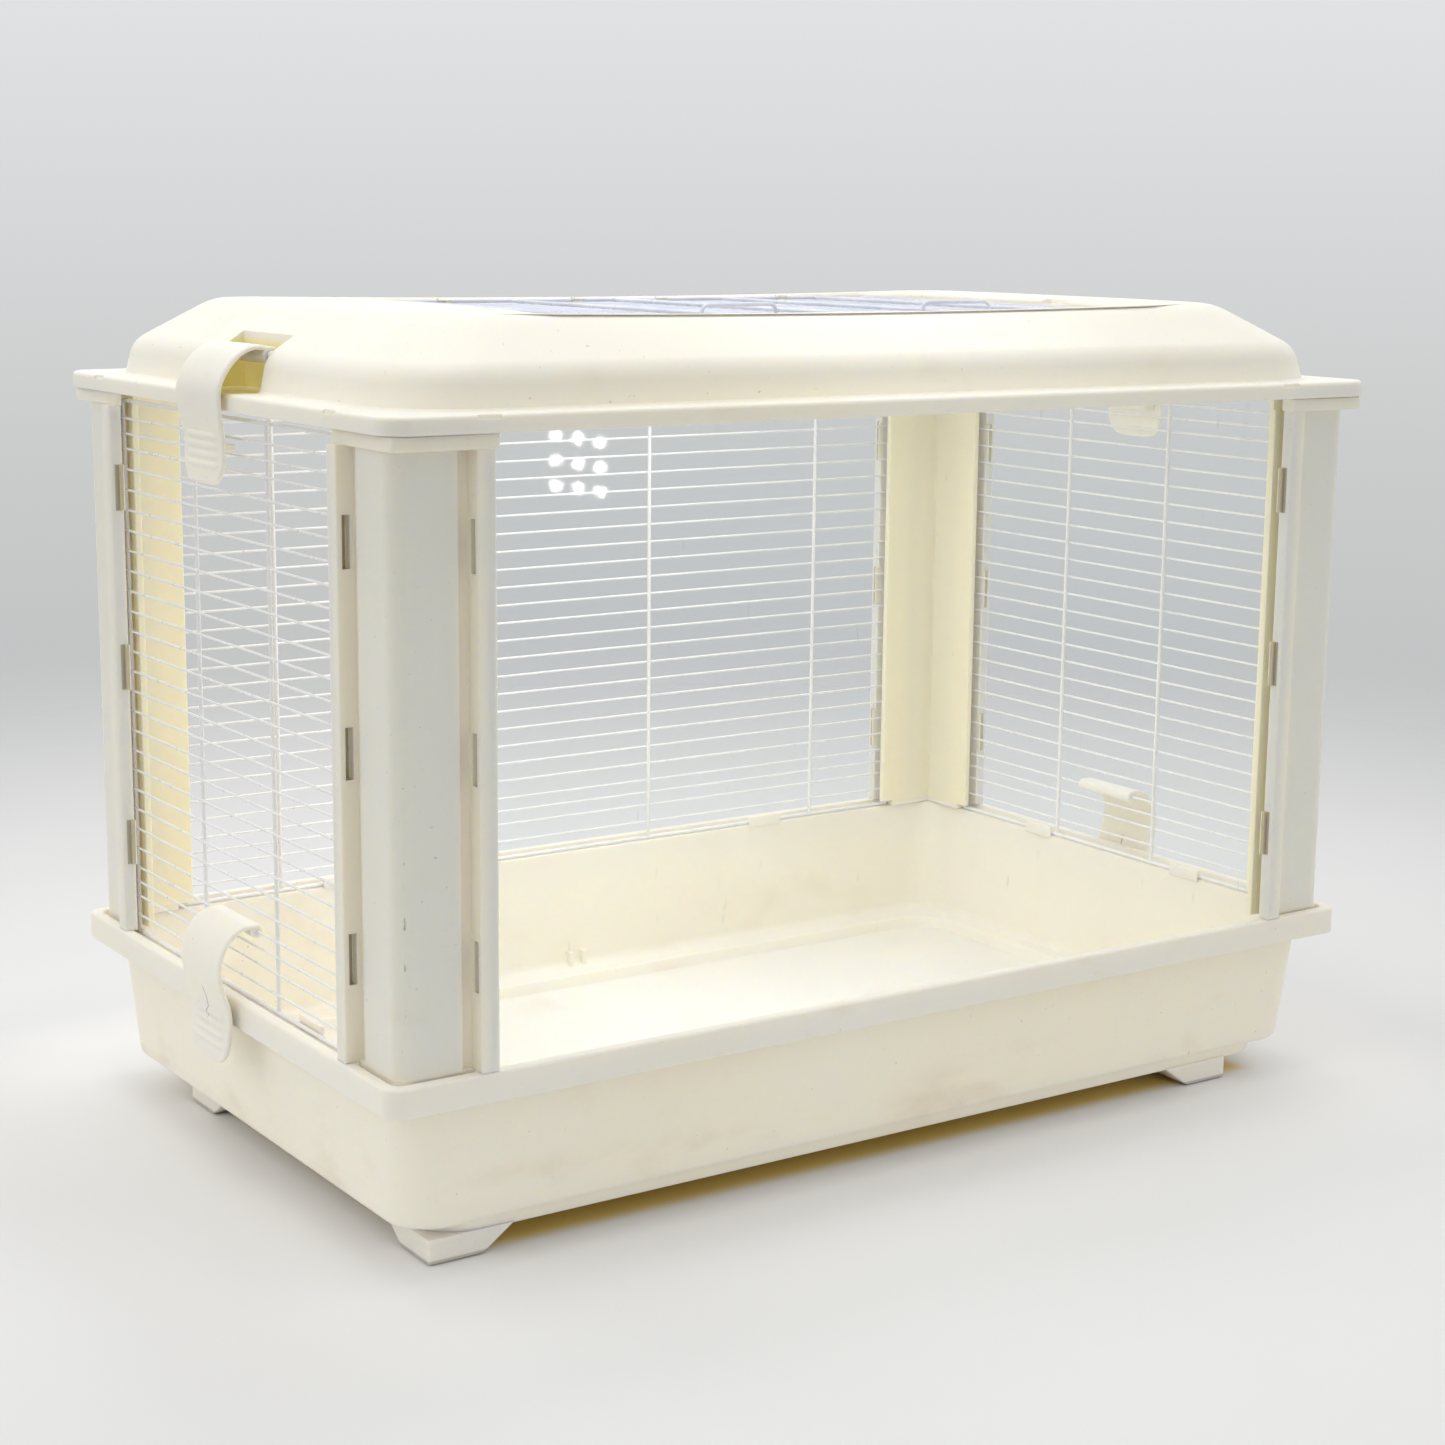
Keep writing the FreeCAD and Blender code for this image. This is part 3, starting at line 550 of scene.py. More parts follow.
def foot(outer_x, toward_x, outer_y, toward_y):
    """Foot pad with rounded edges; its two inner sides slope out to the pan."""
    pad = 28.5 * MM
    slope = 17 * MM
    height = 12.2 * MM
    build = bmesh.new()
    rows = []
    for reach, z in ((pad, 0), (pad + slope, height)):
        inner_x = outer_x + toward_x * reach
        inner_y = outer_y + toward_y * reach
        row = [(outer_x, outer_y), (inner_x, outer_y), (inner_x, inner_y), (outer_x, inner_y)]
        rows.append([build.verts.new((x, y, z)) for x, y in row])
    low, high = rows
    build.faces.new(low)
    build.faces.new(high)
    for i in range(4):
        build.faces.new((low[i], low[(i + 1) % 4], high[(i + 1) % 4], high[i]))
    bmesh.ops.recalc_face_normals(build, faces=build.faces)
    soft = [edge for edge in build.edges if min(v.co.z for v in edge.verts) < MM]
    round_edges(build, soft, 1.1 * MM)
    return build


def base_tray(material):
    tray = loft("tray_moulding", tray_rings())
    feet = []
    for outer_x, toward_x in ((-270.5 * MM, 1), (236 * MM, -1)):
        for outer_y, toward_y in ((-163.5 * MM, 1), (112 * MM, -1)):
            feet.append(foot(outer_x, toward_x, outer_y, toward_y))
    combine(tray, gather("feet", feet), "UNION")
    half, low, high = 12 * MM, (TRAY_LEDGE - 1.5) * MM, (TRAY_LEDGE + 5.5) * MM
    tabs = []
    for y in (58 * MM, -74 * MM):
        for side in (-1, 1):
            tabs.append(block(side * 284.5 * MM, side * 286.2 * MM, y - half, y + half, low, high, 0.5 * MM))
    for x in (150 * MM, -150 * MM):
        tabs.append(block(x - half, x + half, 169.3 * MM, 171 * MM, low, high, 0.5 * MM))
    for x in (0.0, 9.5 * MM):                # two small ribs on the inside of the back wall
        tabs.append(block(x - 1.2 * MM, x + 1.2 * MM, 161.5 * MM, 167.8 * MM, 19.8 * MM, 30 * MM, 0.4 * MM))
    combine(tray, gather("tabs", tabs), "UNION")
    finish_piece(smooth(tray), "tray", material, "base_tray")


# ---- corner posts ----
def post_corners():
    """Section of a post, as depths in from its two outer faces; small rounds on every edge."""
    near, far, deep = 0.3, 6.4, 40.5
    wing = [(33, 0, 0.7), (33, 2.5, 0.5), (39, 2.5, 0.5), (39, -6.6, 1.0), (48.5, -6.6, 1.2),
            (48.5, near, 0.4), (deep, near, 0.2), (deep, far, 0.2), (48.5, far, 0.4), (48.5, 10, 0.8),
            (10, 10, 1.5)]
    other = [(y, x, radius) for x, y, radius in reversed(wing[:-1])]
    return wing + other + [(0, 0, 9.0)]


def wing_blocks(*corners):
    """A box on one wing of the section and its twin on the other, given in millimetres."""
    x0, x1, y0, y1, z0, z1 = (value * MM for value in corners)
    return [block(x0, x1, y0, y1, z0, z1), block(y0, y1, x0, x1, z0, z1)]


def post_prism(name, corners, low, high, chamfer):
    """Prism of a rounded outline, given in millimetres."""
    outline = [point * MM for point in round_corners(corners)]
    return extruded(name, outline, low * MM, high * MM, chamfer * MM)


def corner_post():
    """Post in its own corner frame: x and y run inwards from its two outer faces."""
    base, top, tip = 95.1, 376.9, 50
    post = post_prism("post", post_corners(), base, top, 0.3)
    plate = [(-3, -7.5, 2.5), (tip, -7.5, 0.8), (tip, 10, 0.8), (10, 10, 1.0), (10, tip, 0.8), (-3, tip, 0.8)]
    combine(post, post_prism("flange", plate, 376.5, 383.2, 0.6), "UNION")
    peg = [(0.5, 0.5, 6), (40, 0.5, 1), (40, 9.5, 1), (9.5, 9.5, 0.8), (9.5, 40, 1), (0.5, 40, 1)]
    combine(post, post_prism("peg", peg, 91.7, base + 1, 0.3), "UNION")
    cuts = wing_blocks(40.3, 60, 0.2, 6.5, 375.5, 385)      # the panel's channel goes on up
    hooks = []
    for middle in SLOT_MIDDLES:
        low, high = middle - SLOT_HALF, middle + SLOT_HALF
        cuts += wing_blocks(38, 43.5, -3.9, 0.0, low, high)
        hooks += wing_blocks(47.5, 50.5, -2, 0.3, low, high)
    combine(post, gather("hooks", hooks), "UNION")
    combine(post, gather("cuts", cuts), "DIFFERENCE")
    for core in post_cores(base + 3, top - 3):
        combine(post, core, "DIFFERENCE")
    return post


def post_cores(low, high):
    """Hollows along a post: an L inside the body and a slim one inside each end bar."""
    skin, end, back, soft = 2.2, 31.0, 7.8, 0.4
    body = [(skin, end, soft), (skin, 9.0, soft), (4.2, 4.2, soft), (9.0, skin, soft), (end, skin, soft),
            (end, back, soft), (back, back, soft), (back, end, soft)]
    bar = [(44.5, -5.2, soft), (47.2, -5.2, soft), (47.2, -1.2, soft), (44.5, -1.2, soft)]
    twin = [(y, x, soft) for x, y, soft in reversed(bar)]
    return [post_prism("core", corners, low, high, 0.1) for corners in (body, bar, twin)]


def corner_posts(material, near_material):
    corner_x, corner_y = 292 * MM, 177 * MM      # of the posts' outer faces
    pattern = corner_post()
    for x_name, side_x in SIDES.items():
        for y_name, side_y in (("front", -1), ("back", 1)):
            name = "post_%s_%s" % (y_name, x_name)
            post = placed(name + "_moulding", pattern.data.copy())
            place = Matrix.Translation((side_x * corner_x, side_y * corner_y, 0))
            post.data.transform(place @ Matrix.Diagonal((-side_x, -side_y, 1, 1)))
            if side_x != side_y:
                post.data.flip_normals()
            chosen = near_material if name == "post_front_left" else material
            finish_piece(smooth(post), "enclosure", chosen, name)
    bpy.data.objects.remove(pattern)


# ---- lid ----
DOME_TOP = lid_high.z
RIM_TOP = 392.0                      # millimetres, as are the lengths below
DOME_INSET = 15.0                    # from the rim's edge to the dome's foot
DOME_CORNER = 42.0                   # radius of the dome's upright corners
SHOULDER_R = 16.0
SLOPE = math.radians(33)
DOME_WALL = math.radians(82)
TOP_INSET = 54.0                     # from the rim's edge to the flat top


def dome_rings(shrink):
    """Dome wall, round shoulder, slope and a soft edge to the flat top; shrink gives the inside."""
    middle_inset = DOME_INSET + 1.6 + SHOULDER_R
    middle_z = DOME_TOP / MM - (TOP_INSET - middle_inset) * math.tan(SLOPE) - SHOULDER_R / math.cos(SLOPE)
    levels = []
    for step in range(11):
        tilt = DOME_WALL + (SLOPE - DOME_WALL) * step / 10
        radius = SHOULDER_R - shrink
        levels.append((middle_inset - radius * math.sin(tilt), middle_z + radius * math.cos(tilt)))
    top_z = DOME_TOP / MM - shrink
    last_inset, last_z = levels[-1]
    edge = last_inset + (top_z - last_z) / math.tan(SLOPE)
    for share in (0.25, 0.5, 0.72):
        levels.append((last_inset + (edge - last_inset) * share, last_z + (top_z - last_z) * share))
    blend = 7.0
    start = Vector((edge - blend * math.cos(SLOPE), top_z - blend * math.sin(SLOPE)))
    end = Vector((edge + blend, top_z))
    for step in range(5):
        t = step / 4
        point = start * (1 - t) ** 2 + Vector((edge, top_z)) * 2 * t * (1 - t) + end * t * t
        levels.append(tuple(point))
    rings = []
    for inset, z in levels:
        radius = DOME_CORNER - 0.35 * (inset - DOME_INSET) - shrink
        rings.append(rounded_ring(lid_high.x - inset * MM, lid_high.y - inset * MM, radius * MM, z * MM))
    return rings


def lid_rings():
    """Section of the lid: up its rim, over the dome, down the window's lip and back inside."""
    low, top, rim_top, ledge = lid_low.z / MM, DOME_TOP / MM, RIM_TOP, 424.9
    under_rim, under_ledge, under_top = rim_top - WALL, ledge - WALL, top - WALL

    def ring(inset, radius, z):
        return rounded_ring(lid_high.x - inset * MM, lid_high.y - inset * MM, radius * MM, z * MM)

    def window(grow, radius, z):
        return rounded_ring((180 + grow) * MM, (118 + grow) * MM, radius * MM, z * MM)

    rings = [ring(2.1, 12.0, low), ring(0.6, 13.4, low), ring(0.15, 13.9, low + 0.2), ring(0, 14, low + 0.7)]
    rings += [ring(0, 14, rim_top - 2.2), ring(0.25, 13.8, rim_top - 1.1), ring(0.9, 13.2, rim_top - 0.35)]
    rings += [ring(1.9, 12.2, rim_top), ring(12.2, 38, rim_top), ring(13.8, 41, rim_top + 0.25)]
    rings += [ring(14.8, DOME_CORNER, rim_top + 1.1)]
    rings += dome_rings(0)
    rings += [window(16, 14, top), window(3.2, 9, top), window(1.2, 7.2, top - 0.25)]
    rings += [window(0.3, 6.3, top - 1.0), window(0, 6, top - 1.9), window(0, 6, ledge + 0.6)]
    rings += [window(-0.5, 5.6, ledge), window(-7.2, 3.8, ledge), window(-7.8, 3.2, ledge - 0.4)]
    rings += [window(-8, 3, ledge - 1), window(-8, 3, under_ledge + 0.4), window(-7.5, 3.4, under_ledge)]
    rings += [window(1.8, 7.8, under_ledge), window(2.5, 8.5, under_ledge + 0.7)]
    rings += [window(2.5, 8.5, under_top - 0.6), window(3.2, 9.1, under_top)]
    rings += dome_rings(WALL)[::-1]
    rings += [ring(16.6, 39.5, under_rim + 0.2), ring(15.4, 38.5, under_rim), ring(3.2, 10.9, under_rim)]
    rings += [ring(2.5, 11.5, under_rim - 0.7), ring(2.5, 11.5, low + 0.3)]
    return rings


def roof_sag(point):
    """The long edges of the roof hang a little at mid-length; the window's flange stays flat."""
    sag = 2.6 * MM
    rise = min(1.0, max(0.0, (point.z - 412 * MM) / (18 * MM)))
    along = max(0.0, 1 - (point.x / (250 * MM)) ** 2)
    across = min(1.0, max(0.0, (abs(point.y) - 60 * MM) / (50 * MM)))
    if abs(point.y) < 119 * MM and point.z < 426 * MM:
        return point
    return point - Vector((0, 0, sag * rise * along * across))


def latch_pockets(lid):
    """Line the dome behind both latches, and return the pockets to cut in the lining."""
    inset = DOME_INSET + 0.3
    foot_ring = rounded_ring(lid_high.x - inset * MM, lid_high.y - inset * MM, DOME_CORNER * MM, 389.6 * MM)
    above = DOME_TOP + 5 * MM
    pockets = []
    for side in (-1, 1):
        dome = loft("dome", [foot_ring] + dome_rings(0.4))
        lining = block(side * 263.5 * MM, side * 290 * MM, -31.5 * MM, 31.5 * MM, 389.8 * MM, above)
        combine(dome, gather("lining", [lining]), "INTERSECT")
        combine(lid, dome, "UNION")
        pockets.append(block(side * 266 * MM, side * 310 * MM, -29 * MM, 29 * MM, 391.9 * MM, above))
    return pockets


def rim_notches():
    """A notch in each end of the window's rim, and small ones all round the lid's rim."""
    half, low, high = 6 * MM, 389.8 * MM, 393 * MM
    inner, outer = 1.2 * MM, 1 * MM              # how far they reach, each way from the edge
    notches = []
    for side in (-1, 1):
        notches.append(block(side * 179 * MM, side * 186 * MM, -71 * MM, -50 * MM,
                             DOME_TOP - 2.4 * MM, DOME_TOP + 2 * MM))
    for x in (-249 * MM, 237 * MM):
        for side in (-1, 1):
            notches.append(block(x - half, x + half, side * (lid_high.y - inner),
                                 side * (lid_high.y + outer), low, high))
    for y in (-133 * MM, 140 * MM):
        for side in (-1, 1):
            notches.append(block(side * (lid_high.x - inner), side * (lid_high.x + outer),
                                 y - half, y + half, low, high))
    return notches


def lid_shell(material):
    lid = loft("lid_moulding", lid_rings(), closed=True)
    for vertex in lid.data.vertices:
        vertex.co = roof_sag(vertex.co)
    combine(lid, gather("cuts", latch_pockets(lid) + rim_notches()), "DIFFERENCE")
    finish_piece(smooth(lid), "lid", material, "lid_shell")


# ---- wire walls ----
FINE_PITCH = 8.0                     # millimetres
PITCH = 10.7
TOP_WIRE = 370.0
THIN_R = 0.65 * MM
THICK_R = 1.1 * MM
LOW_WIRE = 92.9 * MM                 # the thick wires along a wall's two edges
HIGH_WIRE = 379 * MM
SIDE_HALF = 136 * MM
SIDE_UPRIGHTS = (-134.6, -43, 43, 134.6)
BACK_WIRES_Y = 174.4                 # millimetres
BACK_HALF = 251 * MM
BACK_UPRIGHTS = (-249.6, -187.5, -62.5, 62.5, 187.5, 249.6)


def bar_heights():
    gaps = [FINE_PITCH] * 2 + [PITCH] * 21 + [FINE_PITCH] * 2 + [PITCH]
    heights = [TOP_WIRE]
    for gap in gaps:
        heights.append(heights[-1] - gap)
    return [height * MM for height in heights]


def wire(build, start, end, radius, bow):
    """Round wire with rounded ends, bowed sideways a little between its ends."""
    line = end - start
    across = line.cross(Vector((0.3, 0.5, 0.8))).normalized()
    other = line.cross(across).normalized()
    phase = random.uniform(0, 2 * math.pi)
    waves = random.choice((1, 1, 2, 3))      # half waves of the bow along the wire
    stations = [0.0, 0.0008, 0.003] + [step / 14 for step in range(1, 14)] + [0.997, 0.9992, 1.0]
    rings = []
    for index, at in enumerate(stations):
        edge = min(index, len(stations) - 1 - index)
        thick = radius * (0.45, 0.8, 1.0)[min(edge, 2)]
        swing = bow * math.sin(math.pi * waves * at) * math.cos(phase)
        middle = start + line * at + across * swing + other * swing * 0.6
        rings.append([build.verts.new(middle + (across * math.cos(a) + other * math.sin(a)) * thick)
                      for a in angles(WIRE_SIDES)])
    for first, second in zip(rings, rings[1:]):
        for side in range(WIRE_SIDES):
            after = (side + 1) % WIRE_SIDES
            build.faces.new((first[side], first[after], second[after], second[side]))
    build.faces.new(rings[0])
    build.faces.new(rings[-1])


def weld(build, middle, reach):
    """Blob of coating where two wires cross; reach is how far it goes along X, Y and Z."""
    place = Matrix.Translation(middle) @ Matrix.Diagonal((*reach, 1.0))
    bmesh.ops.create_icosphere(build, subdivisions=2, radius=1.0, matrix=place)


def wire_wall(name, half, uprights, place, material, node):
    """Wall along X at y = 0, thin wires outside and thick ones behind, then placed."""
    build = bmesh.new()
    behind = -(THIN_R + THICK_R - 0.15 * MM)
    for z in bar_heights():
        wire(build, Vector((-half, 0, z)), Vector((half, 0, z)), THIN_R, 0.3 * MM)
    for z in (LOW_WIRE, HIGH_WIRE):
        wire(build, Vector((-half, behind, z)), Vector((half, behind, z)), THICK_R, 0.15 * MM)
    for x in uprights:
        x *= MM
        wire(build, Vector((x, behind, LOW_WIRE)), Vector((x, behind, HIGH_WIRE)), THICK_R, 0.1 * MM)
        for z in bar_heights():
            weld(build, Vector((x, behind + THICK_R - 0.25 * MM, z)), (1.25 * MM, 0.75 * MM, 0.8 * MM))
        for z in (LOW_WIRE, HIGH_WIRE):
            weld(build, Vector((x, behind, z)), (1.35 * MM, 1.12 * MM, 1.35 * MM))
    bmesh.ops.recalc_face_normals(build, faces=build.faces)
    mesh = bpy.data.meshes.new(name)
    build.to_mesh(mesh)
    build.free()
    mesh.transform(place)
    mesh.shade_smooth()
    finish_piece(placed(name, mesh), "enclosure", material, node)


def wire_walls(material):
    random.seed(7)
    for name, side in SIDES.items():
        turn = Matrix.Rotation(-side * math.pi / 2, 4, "Z")
        place = Matrix.Translation((side * SIDE_WIRES_X * MM, 0, 0)) @ turn
        wire_wall("side_wires_" + name, SIDE_HALF, SIDE_UPRIGHTS, place, material, "wire_wall_" + name)
    place = Matrix.Translation((0, BACK_WIRES_Y * MM, 0))
    wire_wall("back_wires", BACK_HALF, BACK_UPRIGHTS, place, material, "wire_wall_back")


# ---- latches ----
UPPER_LINE = [(276.3, 412.4), (284.0, 413.4), (291.5, 410.3), (298.0, 403.8), (302.2, 396.0),
              (303.1, 388.0), (302.0, 379.0), (300.4, 370.0), (300.2, 361.0), (301.2, 348.0)]
LOWER_LINE = [(289.6, 131.45), (296.0, 131.2), (302.4, 127.6), (307.0, 121.4), (309.4, 114.0),
              (309.3, 106.0), (307.4, 98.5), (305.2, 91.5), (304.5, 84.0), (305.4, 75.0), (307.0, 62.0)]
LATCH_THICK = 2.5
RIB_FIRST = 8.5                      # from the tongue's end to its first rib
RIB_PITCH = 4.8
RIB_COUNT = 4
RIB_HEIGHT = 1.1
RIB_REACH = 17.5                     # each way from the strap's middle
TONGUE_ROUND = 13.0
SECTION_SHARES = [-1 + step / 10 for step in range(21)]
SECTION_EDGE = ((0.5, 0.82), (0.1, 0.4), (0.0, 0.0), (0.1, -0.4), (0.5, -0.82))


def smooth_line(line, step):
    """Catmull-Rom line through the given points, as points about one step apart."""
    points = [Vector(p) for p in line]
    points = [2 * points[0] - points[1]] + points + [2 * points[-1] - points[-2]]
    result = []
    for before, start, end, after in zip(points, points[1:], points[2:], points[3:]):
        count = max(2, round((end - start).length / step))
        for index in range(count):
            t = index / count
            bend = 2 * start + (end - before) * t + (2 * before - 5 * start + 4 * end - after) * t * t
            result.append((bend + (3 * start - before - 3 * end + after) * t ** 3) / 2)
    return result + [points[-2]]


def rib_height(to_end, across):
    """Raised grip ribs: each rises slowly and drops sharply, and fades before the strap's edges."""
    fade = min(1.0, max(0.0, (RIB_REACH - abs(across)) / 3))
    height = 0.0
    for index in range(RIB_COUNT):
        offset = to_end - (RIB_FIRST + RIB_PITCH * index)
        if -0.9 < offset < 2.6:
            height = math.sin(math.pi * (offset + 0.9) / 3.5) ** 0.8
    return RIB_HEIGHT * height * fade


def latch_strap(name, side, line, half_width):
    """Strap swept along its line: rounded long edges, a round tongue and grip ribs on its face."""
    route = smooth_line(line, 0.7)
    travelled = [0.0]
    for a, b in zip(route, route[1:]):
        travelled.append(travelled[-1] + (b - a).length)
    rings = []
    for index, point in enumerate(route):
        ahead = route[min(index + 1, len(route) - 1)]
        behind = route[max(index - 1, 0)]
        along = (ahead - behind).normalized()
        outward = Vector((-along.y, along.x))
        to_end = travelled[-1] - travelled[index]
        half = half_width(point.y)
        if to_end < TONGUE_ROUND:
            half += math.sqrt(TONGUE_ROUND ** 2 - (TONGUE_ROUND - to_end) ** 2) - TONGUE_ROUND
        end_pinch = max(0.0, 1 - to_end / 0.9) ** 2
        thick = LATCH_THICK * (1 - 0.45 * end_pinch)
        section = [(share * (half - 1.2), thick / 2) for share in SECTION_SHARES]
        section += [(half - inset, thick / 2 * lift) for inset, lift in SECTION_EDGE]
        section += [(-share * (half - 1.2), -thick / 2) for share in SECTION_SHARES]
        section += [(inset - half, -thick / 2 * lift) for inset, lift in SECTION_EDGE]
        ring = []
        for across, lift in section:
            if lift > LATCH_THICK / 2 * 0.5:
                lift += rib_height(to_end, across)
            place = point + outward * lift
            ring.append(Vector((side * place.x * MM, across * MM, place.y * MM)))
        rings.append(ring)
    return loft(name, rings)


def barrel(x, z, radius, half):
    """Round bar along Y with softened ends, for a latch's eye and its bore."""
    soft = 0.4
    ends = ((-half, radius - soft), (-half + soft, radius), (half - soft, radius), (half, radius - soft))
    rings = []
    for y, thick in ends:
        rings.append([Vector((x + thick * math.cos(a), y, z + thick * math.sin(a))) * MM
                      for a in angles(BAR_SIDES)])
    return loft("barrel", rings)


def latch(name, side, line, half_width, pivot, eye_r, bore_r, nib, material, node):
    """Strap with a bored eye at its pivot and a catch; nib is the catch's x, z and reach."""
    strap = latch_strap(name, side, line, half_width)
    pivot_x, pivot_z = side * pivot[0], pivot[1]
    half = half_width(pivot_z)
    combine(strap, barrel(pivot_x, pivot_z, eye_r, half), "UNION")
    nib_x, nib_z, reach = nib
    catch = block(side * nib_x * MM, side * (nib_x - reach) * MM, -18 * MM, 18 * MM,
                  (nib_z - 1.6) * MM, (nib_z + 1.6) * MM, 0.5 * MM)
    combine(strap, gather("catch", [catch]), "UNION")
    combine(strap, barrel(pivot_x, pivot_z, bore_r, half + 2), "DIFFERENCE")
    finish_piece(smooth(strap, 40), node, material, node)


def latches(material, marked):
    pin_z = (pin_low.z + pin_high.z) / 2 / MM
    pin_x = (pin_low.x + pin_high.x) / 2 / MM
    hook_z = bar_heights()[-4] / MM              # the fourth-lowest thin wire

    def upper_half(z):
        return 23 + 2.0 * min(1.0, max(0.0, (z - 372) / 14))

    def lower_half(z):
        return 23.0

    for name, side in SIDES.items():
        latch("upper_strap_" + name, side, UPPER_LINE, upper_half, (pin_x, pin_z), 4.2, 2.27,
              (300.4, 366.0, 8.6), material, "upper_latch_" + name)
        latch("lower_strap_" + name, side, LOWER_LINE, lower_half, (SIDE_WIRES_X, hook_z), 3.4, 0.72,
              (304.9, 78.0, 3.2), marked, "lower_latch_" + name)


# ---- CAD pieces that stay ----
def dress_cad(wire_material, steel, clear, plastic):
    """New materials for the nodes that are still shown as packed, by the start of their names."""
    finishes = {"roof_": wire_material, "door_left": wire_material, "door_right": wire_material,
                "door_pull": wire_material, "door_clips": steel, "latch_pin": plastic, "front_panel": clear}
    for name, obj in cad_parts.items():
        for start, chosen in finishes.items():
            if name.startswith(start):
                obj.data.materials.clear()
                obj.data.materials.append(chosen)


# ---- studio ----
FLOOR_RADIUS = 3.2
FLOOR_DROP = 0.4 * MM                # below the feet, so that the faces don't touch
FLOOR_COLOUR = (0.74, 0.745, 0.75)
FLOOR_SHADE = (0.72, 0.725, 0.73)
FLOOR_BOUNCE = (0.90, 0.90, 0.895)   # close to the tray, which throws its light down
FLOOR_GLOW = (0.85, 0.64, 0.20)      # under the tray, lit yellow through the plastic
FRONT_OF_ROOM = 0.54                 # the dim side, which the clear sheet faces
BACK_OF_ROOM = 1.0
CAMERA_PLACE = Vector((-0.8003, -1.1784, 0.4766))


def studio_floor():
    """Pale floor that fades out into the backdrop with distance, with painted bounce light around the tray
    and a painted yellow glow under it.
    """
    disc = [Vector((FLOOR_RADIUS * math.cos(a), FLOOR_RADIUS * math.sin(a), 0)) for a in angles(FLOOR_SIDES)]
    floor = mesh_object("studio_floor", disc, [tuple(range(FLOOR_SIDES))])
    floor.location.z = -FLOOR_DROP
    material, tree, bsdf = new_material("floor_paper")
    place = add(tree, "ShaderNodeTexCoord")
    length = add(tree, "ShaderNodeVectorMath", operation="LENGTH")
    tree.links.new(place.outputs["Object"], length.inputs[0])
    grain = ramp(tree, noise(tree, 3.0, 4.0), 0.3, 0.7)
    colour = mix_colour(tree, grain, FLOOR_COLOUR, FLOOR_SHADE)
    # painted bounce light on the floor around the tray
    around = inside_of(tree, 290 * MM, 180 * MM, 130 * MM)
    colour = mix_colour(tree, around, colour, FLOOR_BOUNCE)
    # painted yellow glow on the floor under the tray
    below = inside_of(tree, 252 * MM, 150 * MM, 13 * MM)
    colour = mix_colour(tree, below, colour, FLOOR_GLOW)
    tree.links.new(colour, bsdf.inputs["Base Color"])
    bsdf.inputs["Roughness"].default_value = 0.62
    clear = add(tree, "ShaderNodeBsdfTransparent")
    mix = add(tree, "ShaderNodeMixShader")
    tree.links.new(ramp(tree, length.outputs["Value"], 0.45, 1.7, 1.0, 0.0), mix.inputs["Fac"])
    tree.links.new(clear.outputs[0], mix.inputs[1])
    tree.links.new(bsdf.outputs[0], mix.inputs[2])
    tree.links.new(mix.outputs[0], tree.nodes["Material Output"].inputs["Surface"])
    floor.data.materials.append(material)


def studio_world():
    """Soft grey surroundings: grey below, bright above, and stronger behind the cage than before it."""
    world = bpy.data.worlds.new("studio")
    world.use_nodes = True
    bpy.context.scene.world = world
    tree = world.node_tree
    place = add(tree, "ShaderNodeTexCoord")
    split = add(tree, "ShaderNodeSeparateXYZ")
    tree.links.new(place.outputs["Generated"], split.inputs[0])
    toward = add(tree, "ShaderNodeVectorMath")
    toward.operation = "DOT_PRODUCT"
    toward.inputs[1].default_value = (0.5, 0.87, 0.0)
    tree.links.new(place.outputs["Generated"], toward.inputs[0])
    colours = add(tree, "ShaderNodeValToRGB")
    stops = ((0.0, (0.50, 0.51, 0.51)), (0.40, (0.52, 0.525, 0.53)), (0.46, (0.60, 0.61, 0.61)),
             (0.54, (0.76, 0.765, 0.78)), (0.57, (0.82, 0.82, 0.83)), (0.68, (1.1, 1.1, 1.1)),
             (1.0, (1.15, 1.15, 1.13)))
    while len(colours.color_ramp.elements) < len(stops):
        colours.color_ramp.elements.new(0.5)
    for element, (at, colour) in zip(colours.color_ramp.elements, stops):
        element.position = at
        element.color = (*colour, 1.0)
    height = add(tree, "ShaderNodeMapRange")
    height.inputs["From Min"].default_value = -1.0
    tree.links.new(split.outputs["Z"], height.inputs["Value"])
    tree.links.new(height.outputs["Result"], colours.inputs["Fac"])
    tree.links.new(colours.outputs["Color"], tree.nodes["Background"].inputs["Color"])
    strength = ramp(tree, toward.outputs["Value"], -0.6, 0.6, FRONT_OF_ROOM, BACK_OF_ROOM)
    tree.links.new(strength, tree.nodes["Background"].inputs["Strength"])


def aimed(light, location, target):
    light.location = location
    light.rotation_euler = (Vector(target) - Vector(location)).to_track_quat("-Z", "Y").to_euler()
    return light


def area_light(name, location, target, size, energy, colour=(1, 1, 1), shape="SQUARE"):
    data = bpy.data.lights.new(name, "AREA")
    data.shape = shape
    data.size = size
    data.energy = energy
    data.color = colour
    return aimed(placed(name, data), location, target)


def studio_lights():
    centre = (cad_low + cad_high) / 2
    area_light("key_overhead", (-0.1, 0.05, 2.0), centre, 1.2, 9.0, (1.0, 0.99, 0.97))
    area_light("fill_left", (-2.4, 0.1, 1.2), centre, 1.6, 8.0, (1.0, 0.96, 0.88))
    for name, side in SIDES.items():
        inside_spot("inside_spot_" + name, side)
    under_lid = area_light("under_lid", (0.0, 0.0, 0.405), (0.0, 0.001, 0.0), 0.30, 0.55)
    under_lid.visible_camera = False
    lamp_array(centre)


def inside_spot(name, side):
    """Soft spot that shines across through the open roof onto one end of the tray."""
    data = bpy.data.lights.new(name, "SPOT")
    data.energy = 14.0
    data.shadow_soft_size = 0.06
    data.spot_size = math.radians(14)
    data.spot_blend = 0.8
    aimed(placed(name, data), (-side * 0.45, -0.5, 1.85), (side * 0.13, 0.12, 0.03))


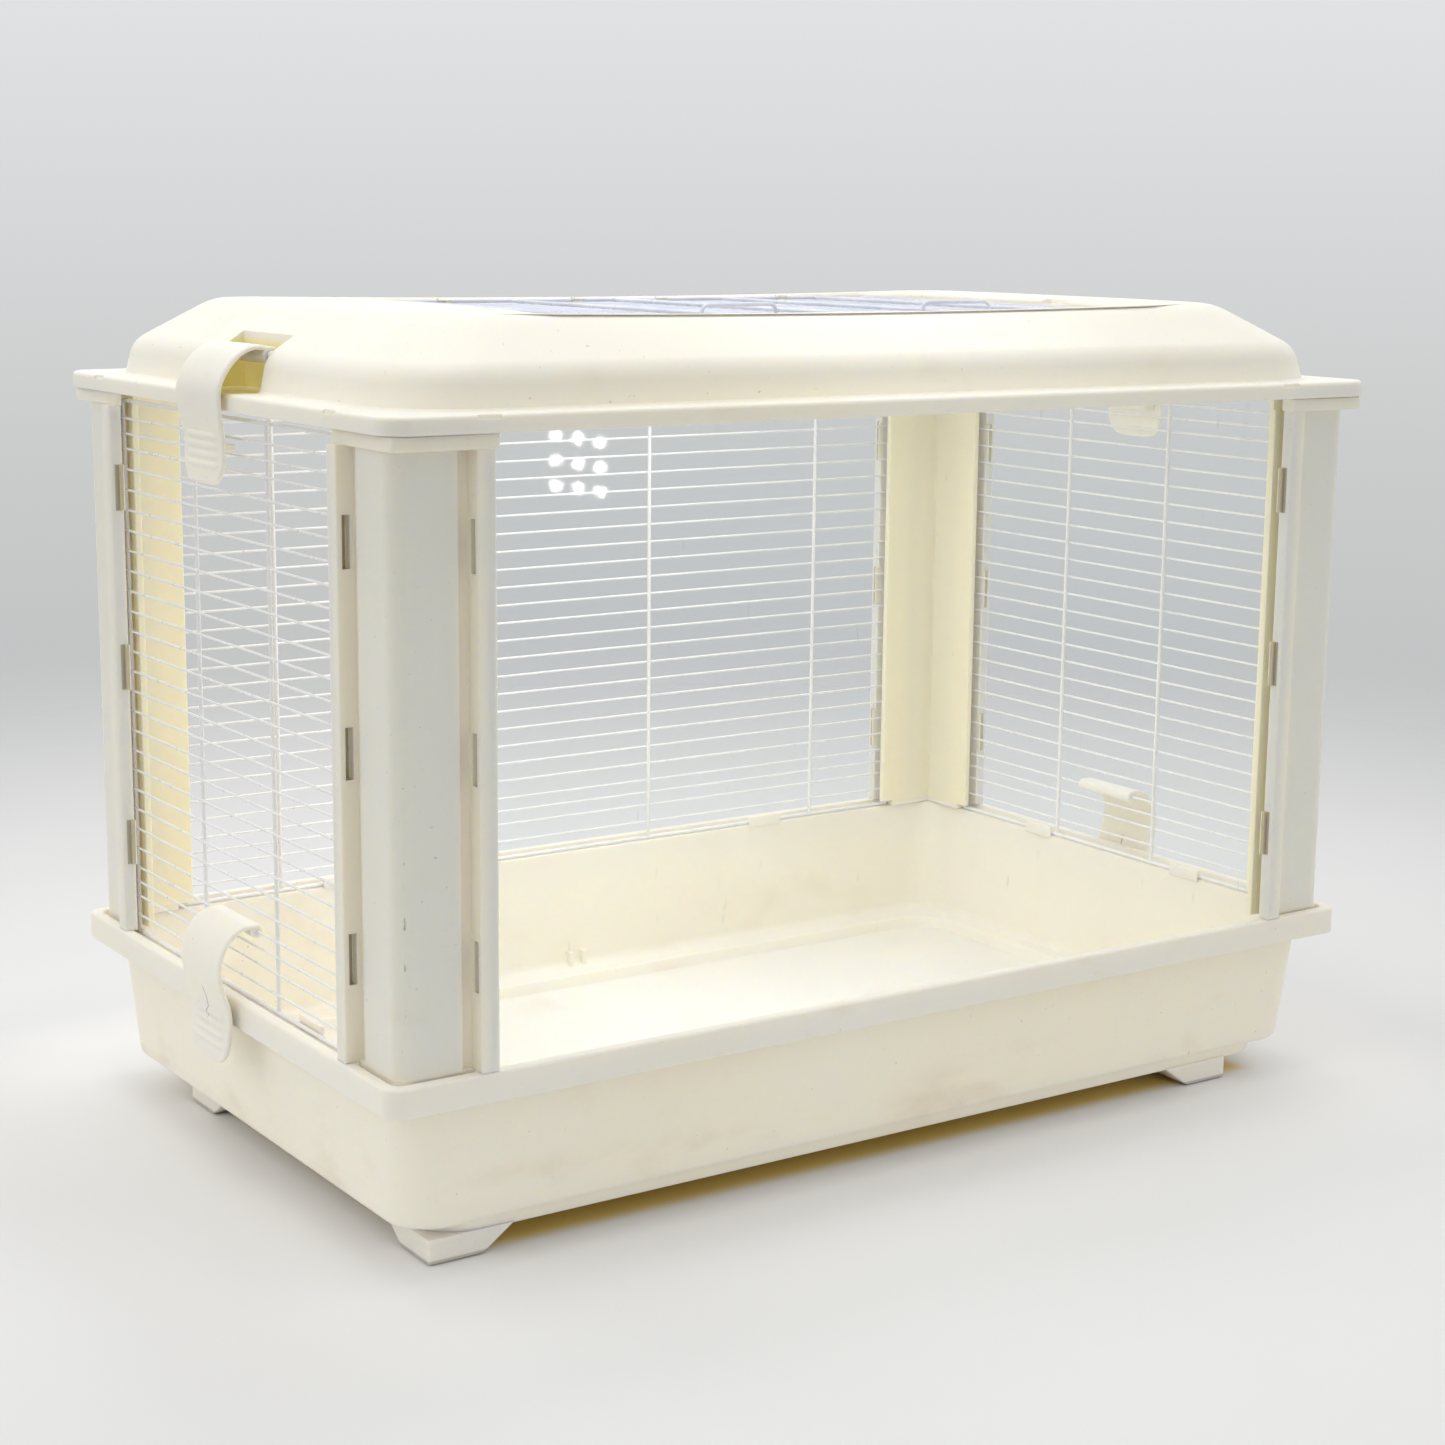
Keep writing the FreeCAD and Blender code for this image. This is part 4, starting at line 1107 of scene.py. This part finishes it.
def lamp_array(centre):
    """Three by three small lamps, which show as bright spots in the clear sheet."""
    first_x, first_z = -0.2085, 0.3805           # of the top left spot on the sheet
    pitch_x, pitch_z, lean = 11.5 * MM, 11.2 * MM, 2 * MM
    far = 1.5                                    # from the sheet to a lamp
    mirrored = Vector((CAMERA_PLACE.x, 2 * panel_low.y - CAMERA_PLACE.y, CAMERA_PLACE.z))
    for row in range(3):
        for column in range(3):
            spot = Vector((first_x + pitch_x * column, panel_low.y,
                           first_z - pitch_z * row - lean * column))
            place = spot + (spot - mirrored).normalized() * far
            lamp = area_light("lamp_%d_%d" % (row, column), place, centre, 0.013, 0.10, shape="DISK")
            lamp.visible_camera = False


# ---- camera ----
def studio_camera():
    azimuth = math.radians(34.21)
    down = math.radians(10.95)
    roll = math.radians(0.59)
    level_part = math.cos(down)
    forward = Vector((math.sin(azimuth) * level_part, math.cos(azimuth) * level_part, -math.sin(down)))
    level = forward.cross(Vector((0, 0, 1))).normalized()
    upright = level.cross(forward)
    right = level * math.cos(roll) + upright * math.sin(roll)
    up = right.cross(forward)
    data = bpy.data.cameras.new("camera")
    data.lens = 65.3
    data.sensor_width = 36.0
    data.clip_start = 0.05
    data.clip_end = 50
    camera = placed("camera", data)
    turn = Matrix((right, up, -forward)).transposed().to_4x4()
    camera.matrix_world = Matrix.Translation(CAMERA_PLACE) @ turn
    bpy.context.scene.camera = camera


# ---- build ----
studio_camera()
studio_world()
studio_floor()
studio_lights()

plastic = cream_plastic("cream_moulding")
tray_plastic = cream_plastic("cream_tray", 0.4, tray_dirt)
near_plastic = cream_plastic("cream_near_post", 0.3, post_marks)
latch_plastic = cream_plastic("latch_moulding", 0.2)
marked_latch = cream_plastic("latch_marked", 0.25, latch_scratch)
white_coat = coated_wire("white_coating", *WALL_COAT)
roof_coat = coated_wire("roof_coating", *ROOF_COAT)

base_tray(tray_plastic)
corner_posts(cream_plastic("cream_post", 0.3, post_glow_and_slot_shade), near_plastic)
lid_shell(cream_plastic("cream_lid", 0.3, pocket_glow))
wire_walls(white_coat)
latches(latch_plastic, marked_latch)
dress_cad(roof_coat, spring_steel("clip_spring_steel"), clear_sheet("clear_front_sheet"), plastic)

bpy.context.scene.view_settings.view_transform = "Standard"
